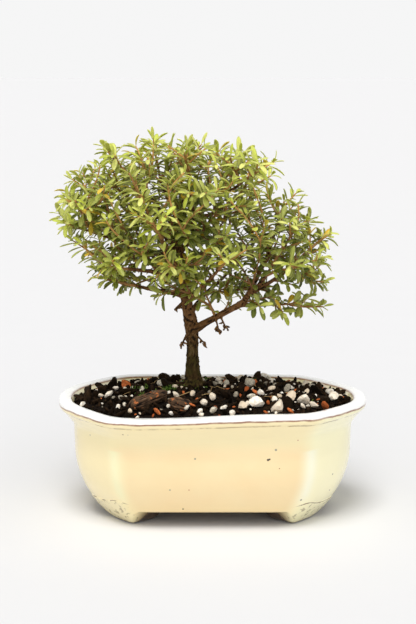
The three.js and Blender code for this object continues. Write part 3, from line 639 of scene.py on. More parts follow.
def leaf_look():
    look = Look("leaf")
    age, tone, side = look.value("age"), look.value("tone"), look.math("ABSOLUTE", look.value("across"))
    # Leaves are painted from a bright young colour to a dark old one by their age and by painted light and
    # shade from their place in the crown.
    young = look.mix(tone, (0.68, 0.77, 0.08), (1.0, 1.0, 0.33))
    old_and_shaded = look.mix(tone, (0.028, 0.05, 0.004), (0.17, 0.225, 0.02))
    look.colour = look.mix(age, young, old_and_shaded)
    look.paint(look.step(look.noise(2.2, 3), 0.42, 0.7, (0, 0.3)), (0.4, 0.4, 0.08))
    look.paint(look.step(tone, 0.965, 0.975, (0, 0.85)), (0.9, 0.56, 0.03))
    # Pale leaf margins, brightest on young leaves: partly the leaf's own margin, partly a painted highlight
    # along the edges.
    look.paint(look.times(look.step(side, 0.7, 1), look.step(age, 0.9, 0.1, (0.3, 0.8))), (1.0, 0.98, 0.45))
    look.paint(look.step(side, 0.16, 0.02, (0, 0.45)), (0.72, 0.72, 0.22))
    look.paint(look.times(look.value("under"), 0.55), (0.5, 0.52, 0.13))
    through = look.mix(0.45, look.colour, (0.95, 0.98, 0.1))
    roughness = look.step(age, 0, 1, (0.42, 0.32))
    return look.surface(roughness, (look.noise(0.9, 2), 0.1, 0.4), through, 0.34, Specular_IOR_Level=0.4)


def soil_look(name, dark, light, size, roughness=0.95):
    look = Look(name)
    look.colour = look.mix(look.value("tone"), dark, light)
    look.paint(look.step(look.noise(size, 4), 0.35, 0.7, (0, 0.75)), dark)
    bumps = (look.noise(size * 0.5, 4, 0.6), 0.35, 0.8)
    return look.surface(roughness, bumps, Specular_IOR_Level=0.05)


def chip_look():
    look = Look("bark_chip")
    groove = look.value("groove")
    look.colour = look.mix(look.noise(3, 4), (0.035, 0.018, 0.01), (0.13, 0.075, 0.04))
    look.paint(look.step(look.noise(3.5, 3), 0.6, 0.68), (0.42, 0.13, 0.04))
    look.paint(look.step(groove, 0.05, -0.45), (0.006, 0.004, 0.003))
    look.paint(look.step(groove, 0.3, 0.8, (0, 0.5)), (0.24, 0.15, 0.09))
    return look.surface(0.9, (look.noise(0.8, 4, 0.6), 0.35, 0.8), Specular_IOR_Level=0.12)


def screen_look():
    look = Look("mesh_plastic")
    look.colour = look.mix(look.noise(3, 3), (0.012, 0.012, 0.014), (0.03, 0.03, 0.033))
    return look.surface(0.55, (look.noise(0.5, 2), 0.05, 0.4))


# Pot

def pot_radius(angle, inset):
    """How far the outline lies from the centre at an angle, once moved in by inset."""
    x, y = np.abs(np.cos(angle)), np.abs(np.sin(angle))
    reaches = [
        x / (RIM_HALF_LENGTH - inset),
        y / (RIM_HALF_WIDTH - inset),
        (math.cos(CUT_SIDE_TURN) * x + math.sin(CUT_SIDE_TURN) * y) / (RIM_CUT_SIDE - inset),
    ]
    return sum(v**CORNER_SHARPNESS for v in reaches) ** (-1 / CORNER_SHARPNESS)


def lift_at(angle, z):
    """The hand-made rim sags at the front left and rises at the front right, over a level bowl."""
    share = np.maximum(0, (z - BOWL_TOP) / (POT_HEIGHT - BOWL_TOP))
    return -RIM_SAG * np.sin(2 * angle) * (1 - np.sin(angle)) * share


def wall_inset(z):
    """How far the wall's outside stands in from the rim's edge at a height."""
    return RIM_OVERHANG + BOWL_INSET * np.maximum(0, 1 - z / BOWL_TOP) ** BOWL_POWER


def ring_angles(sides):
    turn = np.arange(sides) * 2 * math.pi / sides
    return np.arctan2(RIM_HALF_WIDTH * np.sin(turn), RIM_HALF_LENGTH * np.cos(turn))


def ring_at(angles, inset, z):
    radius = pot_radius(angles, inset)
    height = np.broadcast_to(z, angles.shape) + lift_at(angles, z)
    return np.stack([radius * np.cos(angles), radius * np.sin(angles), height], axis=1)


def arch_height(angles):
    """How high the arches between the feet open the pot's lower edge."""
    x, y, _ = np.abs(ring_at(angles, wall_inset(0), 0)).T
    front = smooth_step(x, FRONT_ARCH, FRONT_ARCH - ARCH_SHOULDER)
    side = smooth_step(y, SIDE_ARCH, SIDE_ARCH - ARCH_SHOULDER)
    return ARCH_TOP * np.where(y / RIM_HALF_WIDTH > x / RIM_HALF_LENGTH, front, side)


# The values that the glaze reads, where nothing else is said. Profile and inner are far from their lines.
PLAIN_GLAZE = dict(
    profile=-30, inner=-30, rim=0, inside=0, corner=0, lit_flank=0, foot=0, above_crease=30, under=0
)


def make_pot():
    angles = ring_angles(POT_SIDES)
    arch = arch_height(angles)
    turn = np.arctan2(np.abs(np.sin(angles)), np.abs(np.cos(angles)))
    crease = CREASE_HEIGHT + CREASE_RISE * bell(turn - CREASE_TURN, CREASE_SPREAD)
    crease += CREASE_LEFT * (np.cos(angles) < 0)
    # The corner band is a painted highlight, and the sides' share is paler painted light.
    corner = CORNER_HIGHLIGHT_SHARE * bell(turn - CORNER_TURN, CORNER_SPREAD)
    lit_flank = FLANK_LIGHT_SHARE * smooth_step(turn, *FLANK_TURNS)
    foot = smooth_step(arch, *FOOT_ARCH)
    pot = Shape(**PLAIN_GLAZE)

    def add_outside(inset, z):
        base = np.broadcast_to(z, angles.shape)
        proud = FOOT_PROUD * smooth_step(base, crease + 0.5, crease - 0.3) * foot
        upright = smooth_step(base, 12, 26) * smooth_step(base, 74, 62)
        values = dict(corner=corner * upright, lit_flank=lit_flank, foot=foot, above_crease=base - crease)
        pot.add(ring_at(angles, inset - proud, z), **values)

    # Outside, from the feet's rounded edge up to the rim.
    for edge_turn in np.linspace(math.pi / 2, 0, 5):
        z = arch + FOOT_EDGE * (1 - math.sin(edge_turn))
        add_outside(wall_inset(z) + FOOT_EDGE * (1 - math.cos(edge_turn)), z)
    rim_inset, rim_low = RIM_PROFILE[0][0], POT_HEIGHT - RIM_PROFILE[0][1]
    for share in np.linspace(0, 1, WALL_RINGS)[1:]:
        z = between((arch + FOOT_EDGE, rim_low), share)
        blend = smooth_step(z, BOWL_TOP, rim_low)
        add_outside(wall_inset(z) * (1 - blend) + rim_inset * blend, z)

    # The rim, over its lip and down its inside, and then the inner wall and the floor.
    past_top = False
    for inset, drop in fine_line([(inset, drop, 0, 0) for inset, drop in RIM_PROFILE], RIM_STEP)[1:, :2]:
        past_top = past_top or (drop < 0 and inset > RIM_TOP)
        # The rim's top, up to its inner edge, gets the near-white of painted light.
        if past_top:
            lit_rim_top = smooth_step(drop, INNER_EDGE + 0.3, INNER_EDGE - 0.3)
            values = dict(inner=INNER_EDGE - drop, inside=1 - lit_rim_top)
        else:
            lit_rim_top = smooth_step(drop, LIP_EDGE + 0.4, LIP_EDGE - 0.6)
            values = dict(profile=LIP_EDGE - drop, lit_flank=lit_flank)
        pot.add(ring_at(angles, inset, POT_HEIGHT - drop), rim=lit_rim_top, **values)
    for z in INNER_HEIGHTS:
        pot.add(ring_at(angles, wall_inset(z) + WALL, z), inside=1)
    rings = pot.size // POT_SIDES

    # Underneath: the feet's flat soles, their inner faces and the floor, of bare clay painted dark as painted
    # shade under the pot.
    soles = [(FOOT_EDGE + 1.2, arch), (FOOT_WIDTH - 0.8, arch), (FOOT_WIDTH, arch + 0.3)]
    below = [*soles, (FOOT_WIDTH + 0.4, np.full(POT_SIDES, FOOT_HEIGHT))]
    for across, z in below:
        pot.add(ring_at(angles, wall_inset(0) + across, z), under=1)
    pot.faces = ring_faces(rings, POT_SIDES, closed=False)
    starts = [0, *((rings + k) * POT_SIDES for k in range(len(below)))]
    for upper, lower in zip(starts, starts[1:]):
        for j in range(POT_SIDES):
            after = (j + 1) % POT_SIDES
            pot.faces.append([upper + j, lower + j, lower + after, upper + after])
    pot.faces.append([(rings - 1) * POT_SIDES + j for j in range(POT_SIDES)])
    pot.faces.append([pot.size - 1 - j for j in range(POT_SIDES)])
    pot.materials = [0] * len(pot.faces)
    piece = pot.make("pot_glazed", glaze_look())
    cut_drain_holes(piece)
    return piece


def cut_drain_holes(piece):
    drill = Shape(**PLAIN_GLAZE)
    for x in (-DRAIN_X, DRAIN_X):
        line = np.array([(x, 0, z, DRAIN_RADIUS) for z in (FOOT_HEIGHT - 2, FLOOR_TOP + 2)], float)
        drill.tube(line, 64, under=1)
    cutter = drill.make("drill")
    cut = piece.modifiers.new("holes", "BOOLEAN")
    cut.object, cut.operation, cut.solver = cutter, "DIFFERENCE", "MANIFOLD"
    apply_modifiers(piece)
    bpy.data.objects.remove(cutter)


# Soil

soil_edge = POT_HEIGHT - SOIL_BELOW_RIM
soil_share = (SOIL_BELOW_RIM - RIM_LIP[1]) / (RIM_THROAT[1] - RIM_LIP[1])
soil_inset = between((RIM_LIP[0], RIM_THROAT[0]), soil_share) + SOIL_CLEARANCE


def soil_height(x, y):
    angle = np.arctan2(y, x)
    inside = 1 - np.minimum(1, np.hypot(x, y) / pot_radius(angle, soil_inset)) ** SOIL_MOUND_POWER
    wave = np.sin(x * 0.31 + 1.7) * np.cos(y * 0.37 - 0.6) + 0.6 * np.sin(x * 0.83 - y * 0.59)
    mound = (SOIL_MOUND + SOIL_ROUGHNESS * wave) * inside
    return soil_edge + lift_at(angle, soil_edge) * (1 - inside) + mound - SOIL_BACK * smooth_step(y, 0, 50)


def on_soil(x, y):
    return np.array([x, y, soil_height(x, y)])


def in_pot(x, y, margin):
    return math.hypot(x, y) < pot_radius(math.atan2(y, x), soil_inset) - margin


def make_bed():
    """The soil itself, with a crumbly top."""
    angles = ring_angles(BED_SIDES)
    rings = [(wall_inset(z) + WALL, z) for z in (FLOOR_TOP + 0.3, 21, 30, BOWL_TOP)]
    rings += [(inset, POT_HEIGHT - drop) for inset, drop in RIM_PROFILE[-2:][::-1]]
    points = [ring_at(angles, inset + SOIL_CLEARANCE, z) for inset, z in rings]
    for k in range(BED_CIRCLES):
        radius = pot_radius(angles, soil_inset) * (1 - k / BED_CIRCLES)
        x, y = radius * np.cos(angles), radius * np.sin(angles)
        crumbs = rough(np.stack([x, y, np.zeros(BED_SIDES)], axis=1), 3.2, 4) * 0.9 * min(1, k / 3)
        points.append(np.stack([x, y, soil_height(x, y) - 1.2 * min(1, k / 3) + crumbs], axis=1))
    bed = Shape()
    bed.add(points, ring_faces(len(points), BED_SIDES), tone=0.2)
    return bed.make("soil_bed", soil_look("soil_dark", (0.006, 0.004, 0.003), (0.03, 0.02, 0.012), 1.2))


def stone_points(random, ball, planes, sharpness):
    """A stone: the soft meeting of random planes round a ball's points."""
    normals = unit(random.normal(size=(planes, 3)))
    heights = random.uniform(0.6, 1.0, planes)
    reach = np.clip(ball @ normals.T, 0, None) / heights
    radius = np.clip((reach**sharpness).sum(axis=1), 0.2, None) ** (-1 / sharpness)
    return ball * np.minimum(radius, 1.35)[:, None]


def turned(points, random):
    """Points after a random turn."""
    a, b = unit(random.normal(size=(2, 3)))
    c = unit(np.cross(a, b))
    return points @ np.array([a, c, np.cross(a, c)])


def make_grains():
    """The mix of bark bits, perlite, pumice and clay that covers the soil, each kind a piece of its own."""
    random = np.random.default_rng(SOIL_SEED)
    sphere = bmesh.new()
    bmesh.ops.create_icosphere(sphere, subdivisions=2, radius=1)
    ball = np.array([v.co for v in sphere.verts])
    faces = [[v.index for v in face.verts] for face in sphere.faces]
    sphere.free()
    shapes = {kind: Shape() for kind in GRAIN_KINDS}
    taken = [(TRUNK[2][0], TRUNK[2][1], TRUNK[2][3])]
    for at, size, turn, _ in CHIPS:
        way = np.array(turned_in_plane(1, 0, turn))
        for t in (-0.35, -0.12, 0.12, 0.35):
            taken.append((*(np.array(at) + way * t * size[0]), size[1] * 0.45))

    def add_grain(kind, x, y, radius, lift):
        flat, planes, sharpness = GRAIN_KINDS[kind]
        points = stone_points(random, ball, planes, sharpness) * np.array(flat)
        points = turned(points, random) * np.array([1, 1, 0.9]) * radius
        shapes[kind].add(points + (x, y, soil_height(x, y) + lift * radius), faces, tone=random.random())
        taken.append((x, y, radius))

    for kind, stones in STONES.items():
        for x, y, radius in stones:
            add_grain(kind, x, y, radius, STONE_LIFT)
    for number, (kind, tries, sizes, lean) in enumerate(STREWN):
        for _ in range(tries):
            x, y = random.uniform(-STREWN_X, STREWN_X), random.uniform(-STREWN_Y, STREWN_Y)
            radius = between(sizes, random.random() ** 1.5)
            keep, lift = random.random(), between(GRAIN_LIFT, random.random())
            others = np.array(taken)
            apart = np.hypot(others[:, 0] - x, others[:, 1] - y) / (others[:, 2] + radius)
            margin = GRAIN_MARGIN * radius + (GRAIN_BACK_MARGIN if y > 20 else 0)
            kept = keep > lean * (1 - smooth_step(x - 0.3 * y, -60, 50))
            allowed = number >= STREWN_BEHIND or y > 0
            if kept and allowed and in_pot(x, y, margin) and apart.min() > GRAIN_CLOSE:
                add_grain(kind, x, y, radius, lift)
    return [shapes[kind].make(kind, soil_look(*look), smooth=False) for kind, look in GRAIN_LOOKS.items()]


def make_moss():
    """Moss and seedlings on the soil, as tufts of small blades."""
    random = np.random.default_rng(SOIL_SEED + 2)
    moss = Shape()
    for *centre, wide, count, tall in MOSS:
        for _ in range(count):
            root = on_soil(*(centre + random.normal(0, wide / 2, 2)))
            turn, lean = random.uniform(0, 2 * math.pi), random.uniform(0.2, 0.9)
            long = tall * random.uniform(0.6, 1.3)
            out = np.array([math.cos(turn) * lean, math.sin(turn) * lean, 1])
            tip = root + out * (1, 1, 0.85) * long
            line = [(*(root - up(0.5)), 0.22), (*(root + out * long * 0.5), 0.42), (*tip, 0.1)]
            moss.tube(fine_line(line, 0.7), 5, tone=random.random())
    return moss.make("soil_moss", soil_look("moss", (0.03, 0.06, 0.01), (0.16, 0.24, 0.04), 1.2, 0.8))


def make_fibres():
    """Dry fibres and needles on the soil."""
    random = np.random.default_rng(SOIL_SEED + 1)
    fibres = Shape()
    for _ in range(FIBRES):
        x, y = random.uniform(-72, 78), random.uniform(-42, 40)
        turn, long = random.uniform(0, 2 * math.pi), random.uniform(*FIBRE_LENGTH)
        bend = random.uniform(-0.5, 0.5)
        line = []
        for t in np.linspace(-0.5, 0.5, 7):
            way = turn + bend * t
            place = on_soil(x + long * t * math.cos(way), y + long * t * math.sin(way))
            line.append((*(place + up(1.3 - 1.4 * t * t)), 0.28 - 0.2 * abs(t)))
        if in_pot(x, y, 9):
            fibres.tube(np.array(line), 5, tone=random.random())
    return fibres.make("soil_fibres", soil_look("fibre", (0.2, 0.12, 0.05), (0.5, 0.36, 0.17), 1.5, 0.7))


def make_chip(number, at, size, turn, tilt):
    """A broken piece of bark with layers along it."""

    def noise_at(x, y, z):
        return np.array([noise.noise(Vector(place)) for place in zip(x, y, z)])

    u = np.repeat(np.linspace(-0.5, 0.5, CHIP_RINGS), CHIP_SIDES)
    v = np.tile(np.arange(CHIP_SIDES) * 2 * math.pi / CHIP_SIDES, CHIP_RINGS)
    corner = 0.5 * (np.abs(np.cos(v)) ** 5 + np.abs(np.sin(v)) ** 5) ** -0.2
    y, z = corner * np.cos(v), corner * np.sin(v)
    layers = noise_at(u * 2.4, y * 5 + 3 * number, z * 12)
    chunks = noise_at(u * 7, y * 5, z * 4 + 7 * number)
    ends = noise_at(y * 6, z * 8, number + np.copysign(5, u))
    swell = (1 + 0.2 * layers + 0.12 * chunks) * (1 - 0.45 * (2 * np.abs(u)) ** 4)
    x, z = turned_in_plane(u * (1 + 0.12 * ends) * size[0], z * swell * size[2], tilt)
    x, y = turned_in_plane(x, y * swell * size[1], turn)
    place = np.stack([x, y, z], axis=1) + on_soil(*at) + up(size[2] * 0.15)
    chip = Shape()
    chip.add(place, ring_faces(CHIP_RINGS, CHIP_SIDES), groove=layers + 0.6 * chunks)
    return chip.make(f"bark_chip_fine_{number}", chip_look())


# Wood

def make_wood():
    """Trunk, limbs, roots and snags in one skin, with furrowed bark."""
    wood, centres = Shape(), []
    for number, line in enumerate([TRUNK, *LIMBS, *ROOTS, *SNAGS]):
        fine = fine_line(line, WOOD_STEP)
        if 0 < number <= len(LIMBS):
            fine[:, 3] *= 1 + LIMB_SWELL * np.exp(-np.arange(len(fine)) * WOOD_STEP / LIMB_SWELL_LENGTH)
        wood.tube(fine, 24 if number == 0 else 12)
        ways = unit(np.gradient(fine[:, :3], axis=0))
        centres += [(p[:3], way, p[3]) for p, way in zip(fine, ways)]
    piece = wood.make("trunk_bark", bark_look())
    skin = piece.modifiers.new("skin", "REMESH")
    skin.mode, skin.voxel_size = "VOXEL", WOOD_VOXEL * MM
    soft = piece.modifiers.new("soft", "SMOOTH")
    soft.factor, soft.iterations = 0.5, 5
    apply_modifiers(piece)
    furrow_bark(piece.data, centres)
    return piece


def furrow_bark(mesh, centres):
    """Moves the skin in and out in furrows that run along the wood, and keeps their depth as a value."""
    tree = kdtree.KDTree(len(centres))
    for i, (point, _, _) in enumerate(centres):
        tree.insert(Vector(point), i)
    tree.balance()
    skin, normals = np.zeros((2, len(mesh.vertices) * 3))
    mesh.vertices.foreach_get("co", skin)
    mesh.vertices.foreach_get("normal", normals)
    skin = (skin.reshape(-1, 3) - POT_CENTRE) / MM
    nearest = [centres[tree.find(Vector(p))[1]] for p in skin]
    ways = np.array([way for _, way, _ in nearest])
    radii = np.array([radius for _, _, radius in nearest])
    along = (skin * ways).sum(axis=1, keepdims=True) * ways
    furrows = rough(skin - 0.87 * along, FURROW_WIDTH, 3)
    groove = 0.85 * furrows + 0.3 * rough(skin - 0.8 * along, PLATE_WIDTH, 2)
    depth = BARK_DEPTH * radii**0.9 * np.clip(groove, -1, 0.8)
    moved = skin + normals.reshape(-1, 3) * depth[:, None]
    mesh.vertices.foreach_set("co", (moved * MM + POT_CENTRE).ravel())
    add_value(mesh, "groove", groove)
    mesh.polygons.foreach_set("use_smooth", [True] * len(mesh.polygons))
    mesh.update()


def make_withered():
    """The withered leaves that hang from the snags."""
    random = np.random.default_rng(SHOOT_SEED + 1)
    withered = Shape()
    for snag in np.array(SNAGS)[:, :, :3]:
        for _ in range(WITHERED_EACH):
            at = between(snag, random.uniform(0.45, 1.05)) + random.normal(0, 0.4, 3)
            long = random.uniform(*WITHERED_LENGTH)
            away = np.array([*random.normal(0, 0.45, 2), random.uniform(-0.9, -0.3)])
            curl = np.array([*random.normal(0, 0.35, 2), random.uniform(-0.7, 0.1)])
            tip = at + (away + curl) * long * 0.6
            line = [[*at, 0.25], [*(at + away * long * 0.5), 0.75], [*tip, 0.2]]
            withered.tube(fine_line(line, 0.6), 5, tone=random.random())
    look = soil_look("withered", (0.05, 0.025, 0.01), (0.36, 0.19, 0.08), 1.0, 0.8)
    return withered.make("withered_leaves", look)


# Growth of the crown, by the same rules as the solids

def crown_reach(mass, off):
    """How far out a point lies in a mass, from its place off the centre: 1 on the surface."""
    return (np.abs(off / mass["half"]) ** mass["power"]).sum(axis=-1) ** (1 / mass["power"])


def reach_at(mass, point):
    return crown_reach(mass, point - mass["centre"])


def crown_out(point):
    return min(reach_at(mass, point) for mass in CROWN)


def crown_points():
    """Points spread evenly over the crown by the golden angle, a little inside its surface."""
    found = []
    for which, mass in enumerate(CROWN):
        for i in range(mass["shoots"]):
            rise = 1 - (1.75 * (i + 0.5)) / mass["shoots"]
            flat = math.sqrt(1 - rise * rise)
            turn = i * math.pi * (3 - math.sqrt(5)) + which
            way = np.array([flat * math.cos(turn), flat * math.sin(turn), rise])
            tip = mass["centre"] + way * (1 / crown_reach(mass, way) - TIP_INSET)
            if all(reach_at(other, tip) > mass["free_of"] for other in CROWN if other is not mass):
                found.append((tip, mass))
    return found


def end_shoot(limb):
    """The shoot that ends a limb runs on along it to the crown's surface."""
    at, way = limb[-1, :3], way_at(limb, len(limb) - 1)
    mass = min(CROWN, key=lambda m: reach_at(m, at))
    far = END_SHOOT[0]
    while far < END_SHOOT[1] and reach_at(mass, at + way * (far + TIP_INSET)) < 1:
        far += 1
    return dict(tip=at + way * far, mass=mass, at=at, way=way)


def place_shoots():
    """Each free point of the crown takes the place on a limb that needs the least length and bend."""
    limbs = [np.array(limb, float) for limb in LIMBS]
    shoots = [end_shoot(limb) for limb in limbs]
    spots = [(limb, 1 + i / 4) for limb in limbs for i in range(4 * (len(limb) - 1) - 4)]
    places = np.array([on_curve(limb, t)[:3] for limb, t in spots])
    ways = np.array([way_at(limb, t) for limb, t in spots])
    for tip, mass in crown_points():
        if min(np.linalg.norm(shoot["tip"] - tip) for shoot in shoots) < TIP_SPACING:
            continue
        span = tip - places
        far = np.linalg.norm(span, axis=1)
        taken = np.min([np.linalg.norm(places - shoot["at"], axis=1) for shoot in shoots], axis=0)
        free = (far >= SHOOT_REACH[0]) & (far <= SHOOT_REACH[1]) & (taken >= ROOT_SPACING)
        cost = np.where(free, far * (1 + 0.7 * (1 - (unit(span) * ways).sum(axis=1))), np.inf)
        best = int(np.argmin(cost))
        if free[best]:
            shoots.append(dict(tip=tip, mass=mass, at=places[best], way=ways[best]))
    return shoots


def stem_line(shoot):
    """A shoot's centre line leaves the limb forwards and turns outwards and up at its tip."""
    at, tip = shoot["at"], shoot["tip"]
    span = tip - at
    third = np.linalg.norm(span) / 3
    start_way = unit(shoot["way"] * 0.6 + unit(span) * 0.7)
    end_way = unit(unit(tip - shoot["mass"]["centre"]) * 0.4 + unit(span) * 0.7 + up(0.4))
    b, c = at + start_way * third, tip - end_way * third
    line = []
    for t in (0, 1 / 3, 2 / 3, 1):
        s = 1 - t
        point = at * s**3 + b * 3 * s * s * t + c * 3 * s * t * t + tip * t**3
        line.append([*point, between(STEM_RADIUS, t)])
    return np.array(line)


def place_on(line, t):
    """A point of a line, the way that it runs there, and the ways to its side and over it."""
    way = way_at(line, t)
    side = unit(np.cross(way, off_axis(way)))
    return on_curve(line, t), way, side, np.cross(way, side)


def twig_line(*places):
    return np.array([[*place, radius] for place, radius in zip(places, TWIG_RADII[len(places)])])


def solid_twigs(line, random):
    """The twigs that the solid shoot has, from what is left of its stream once its leaves have drawn."""
    pairs = max(1, math.floor((1 - SOLID_BARE_STEM) * line_length(line) / SOLID_PAIR_SPACING + 0.5))
    for _ in range(1 + 2 * pairs):
        next(random)
    twigs = []
    for k, (share, long) in enumerate(TWIGS):
        at, way, side, _ = place_on(line, share * (len(line) - 1))
        turn = (1 if k % 2 else -1) * (0.75 + 0.5 * next(random))
        out = unit(side * turn + way * 0.75 + up(0.15 + 0.3 * next(random)))
        twigs.append(twig_line(at[:3], at[:3] + out * long * (0.85 + 0.3 * next(random))))
    return twigs


def fine_twigs(line, random):
    """More twigs, all round the stem."""
    long = line_length(line)
    twigs = []
    for k in range(int(long * 0.78 / TWIG_STEP)):
        share = TWIG_SHARES[0] + TWIG_STEP * (k + random.uniform(0.1, 0.6)) / long
        if share > TWIG_SHARES[1] or min(abs(share - at) for at, _ in TWIGS) < 2.5 / long:
            continue
        at, way, side, over = place_on(line, share * (len(line) - 1))
        turn = k * 2.4 + random.uniform(-0.4, 0.4)
        out = side * math.cos(turn) + over * math.sin(turn)
        run = unit(out * 0.85 + way * 0.6 + up(random.uniform(0, 0.35)))
        reach = between(FINE_TWIG_LENGTH, random.random()) * (1 - 0.45 * share)
        bend = up(random.uniform(-0.06, 0.12)) * reach
        middle = at[:3] + run * reach * 0.55 - bend * 0.3
        twigs.append(twig_line(at[:3], middle, at[:3] + run * reach + bend))
    return twigs


def samples(line, step=2.5):
    """Places along a line from which a twig can grow, each with its way."""
    count = max(1, int(line_length(line) / step))
    shares = [(len(line) - 1) * (i + 1) / count for i in range(count)]
    return [(on_curve(line, t)[:3], way_at(line, t)) for t in shares]


def fill_crown(shoots):
    """Twigs that fill the crown between the shoots, each grown from the nearest wood that points its way."""
    random = np.random.default_rng(SHOOT_SEED)
    roots = np.array([shoot["at"] for shoot in shoots])
    places, ways, owners = [], [], []

    def add_wood(found, owner):
        for place, way in found:
            places.append(place)
            ways.append(way)
            owners.append(int(np.argmin(np.linalg.norm(roots - place, axis=1))) if owner is None else owner)

    for number, shoot in enumerate(shoots):
        for line in [shoot["line"], *shoot["twigs"]]:
            add_wood(samples(line), number)
    for limb in LIMBS:
        add_wood(samples(np.array(limb, float))[4:], None)

    spots = []
    for x in np.arange(-115, 90, FILL_STEP):
        for y in np.arange(-62, 66, FILL_STEP):
            for z in np.arange(128, 256, FILL_STEP):
                spot = np.array([x, y, z]) + random.uniform(-0.5, 0.5, 3) * FILL_STEP
                out = crown_out(spot)
                is_open = any(math.hypot(spot[0] - a, spot[2] - b) < r for a, b, r in OPEN_SPOTS)
                if out < FILL_REACH and not is_open:
                    spots.append((out, spot))
    for _, spot in sorted(spots, key=lambda found: found[0]):
        span = spot - np.array(places)
        far = np.linalg.norm(span, axis=1)
        if far.min() < FILL_CLEAR:
            continue
        lean = (unit(span) * np.array(ways)).sum(axis=1) + 0.5 * unit(span)[:, 2]
        cost = np.where((far < FILL_LONGEST) & (lean > -0.2), far * (1.8 - lean), np.inf)
        best = int(np.argmin(cost))
        if np.isfinite(cost[best]):
            middle = places[best] + span[best] * 0.5 + (ways[best] * 0.12 - up(0.05)) * far[best]
            twig = twig_line(places[best], middle, spot)
            shoots[owners[best]]["twigs"].append(twig)
            add_wood(samples(twig), owners[best])


def grow_shoots():
    """Each shoot with its stem's line and the lines of its twigs."""
    shoots = place_shoots()
    for number, shoot in enumerate(shoots):
        line = shoot["line"] = stem_line(shoot)
        shoot["twigs"] = solid_twigs(line, random_stream(SHOOT_SEED + number))
        shoot["twigs"] += fine_twigs(line, np.random.default_rng(SHOOT_SEED * 100 + number))
    fill_crown(shoots)
    return shoots


# Leaves

def lit_share(point):
    """How much light a place in the crown gets, from 0 inside and below to 1 at its top and outside."""
    light = 0.75 * smooth_step(crown_out(point), 0.5, 0.95) + 0.006 * (point[2] - 172)
    for spot, radius, change in LIGHT_SPOTS:
        light += change * bell(math.dist(point, spot), radius)
    return float(np.clip(light, 0, 1))


def leaf_pairs(line, bare, random):
    """The leaves of a branch, in pairs, each a quarter turn from the last and closer near the branch's tip.

    A leaf is its root, the way of the branch, its own way out, the branch's radius, how young and how lit it
    is, and how far it lies from the tip.
    """
    long = line_length(line)
    turn = random.uniform(0, math.pi)
    leaves, far = [], 0.3
    while far < long * (1 - bare):
        at, way, side, over = place_on(line, (len(line) - 1) * (1 - far / long))
        young, light = math.exp(-far / YOUNG_REACH), lit_share(at[:3])
        for half in (0, math.pi):
            a = turn + half + random.normal(0, 0.16)
            leaves.append((at[:3], way, side * math.cos(a) + over * math.sin(a), at[3], young, light, far))
        far += between(PAIR_SPACING, 1 - young) * random.uniform(0.85, 1.15)
        turn += math.pi / 2
    return leaves


def add_leaves(shape, leaves, random):
    """Builds all leaves at once: folded blades that curve back, each one closed skin."""
    count = len(leaves)
    root, way, out, radius, young, light, far = (np.array(part) for part in zip(*leaves))
    bud = np.exp(-far / BUD_REACH)
    # How young a leaf is and how much light it gets: it sets the leaf's size and its painted light and shade.
    fresh_and_lit = np.clip(0.35 * young + 0.65 * light, 0, 1)
    longest, widest = (between(ends, fresh_and_lit) for ends in zip(OLD_LEAF, YOUNG_LEAF))
    long = longest * random.uniform(0.78, 1.15, count) * (1 - 0.45 * bud)
    half = widest * random.uniform(0.85, 1.12, count) / 2 * (1 - 0.4 * bud)
    lean = 1.15 - 0.75 * bud + random.normal(0, 0.12, count)
    curl = random.normal(0.55, 0.3, count)
    fold = random.uniform(0.05, 0.4, count)[:, None, None]
    root = root + out * (radius * 0.5)[:, None]

    # Each leaf's own axes: the way it runs, across it, and out of its face.
    sin, cos = np.sin(lean)[:, None], np.cos(lean)[:, None]
    run = (out * sin + way * cos) * LEAF_LEVEL
    run = unit(run + up(1) * random.normal(0.08, 0.12, (count, 1)))
    face = way * sin - out * cos + LEAF_UP
    face = unit(face - run * (face * run).sum(axis=1, keepdims=True))
    broad = np.cross(face, run)

    # The midrib bends back along the leaf, and the blade folds up on both sides of it.
    along, shares = np.array(LEAF_OUTLINE).T
    across = np.array(LEAF_ACROSS)
    bend = curl[:, None] * along
    middle = (bend[:, 1:] + bend[:, :-1]) / 2
    strides = (np.cos(middle) * np.diff(along), -np.sin(middle) * np.diff(along))
    ahead, down = (np.pad(np.cumsum(stride, axis=1), ((0, 0), (1, 0)))[..., None] for stride in strides)
    normal = face[:, None] * np.cos(bend)[..., None] + run[:, None] * np.sin(bend)[..., None]
    spine = root[:, None] + long[:, None, None] * (run[:, None] * ahead + face[:, None] * down)
    wide = (half[:, None] * shares)[..., None]
    top = (
        spine[:, :, None]
        + broad[:, None, None] * (wide * across * np.cos(fold))[..., None]
        + normal[:, :, None] * (wide * np.abs(across) * np.sin(fold))[..., None]
    )
    under = top[:, 1:-1, 1:-1] - normal[:, 1:-1, None] * LEAF_THICKNESS

    rows, columns = len(along), len(across)
    points = np.concatenate([top.reshape(count, -1, 3), under.reshape(count, -1, 3)], axis=1)
    each = points.shape[1]
    across_all = np.concatenate([np.tile(across, rows), np.tile(across[1:-1], rows - 2)])
    is_under = np.arange(each) >= rows * columns
    faces = (np.array(blade_faces(rows, columns)) + (np.arange(count) * each)[:, None, None]).reshape(-1, 4)
    age = np.clip(1 - fresh_and_lit + random.normal(0, AGE_SPREAD, count), 0, 1)
    shape.add(
        points, faces.tolist(), across=np.tile(across_all, count), under=np.tile(is_under, count),
        age=np.repeat(age, each), tone=np.repeat(random.random(count), each),
    )


def blade_faces(rows, columns):
    """The quads of one blade: its upper face, and its lower face on the same edge."""

    def upper(j, k):
        return j * columns + k

    def lower(j, k):
        if 0 < j < rows - 1 and 0 < k < columns - 1:
            return rows * columns + (j - 1) * (columns - 2) + k - 1
        return upper(j, k)

    faces = []
    for j in range(rows - 1):
        for k in range(columns - 1):
            faces.append([upper(j, k), upper(j + 1, k), upper(j + 1, k + 1), upper(j, k + 1)])
            faces.append([lower(j, k), lower(j, k + 1), lower(j + 1, k + 1), lower(j + 1, k)])
    return faces


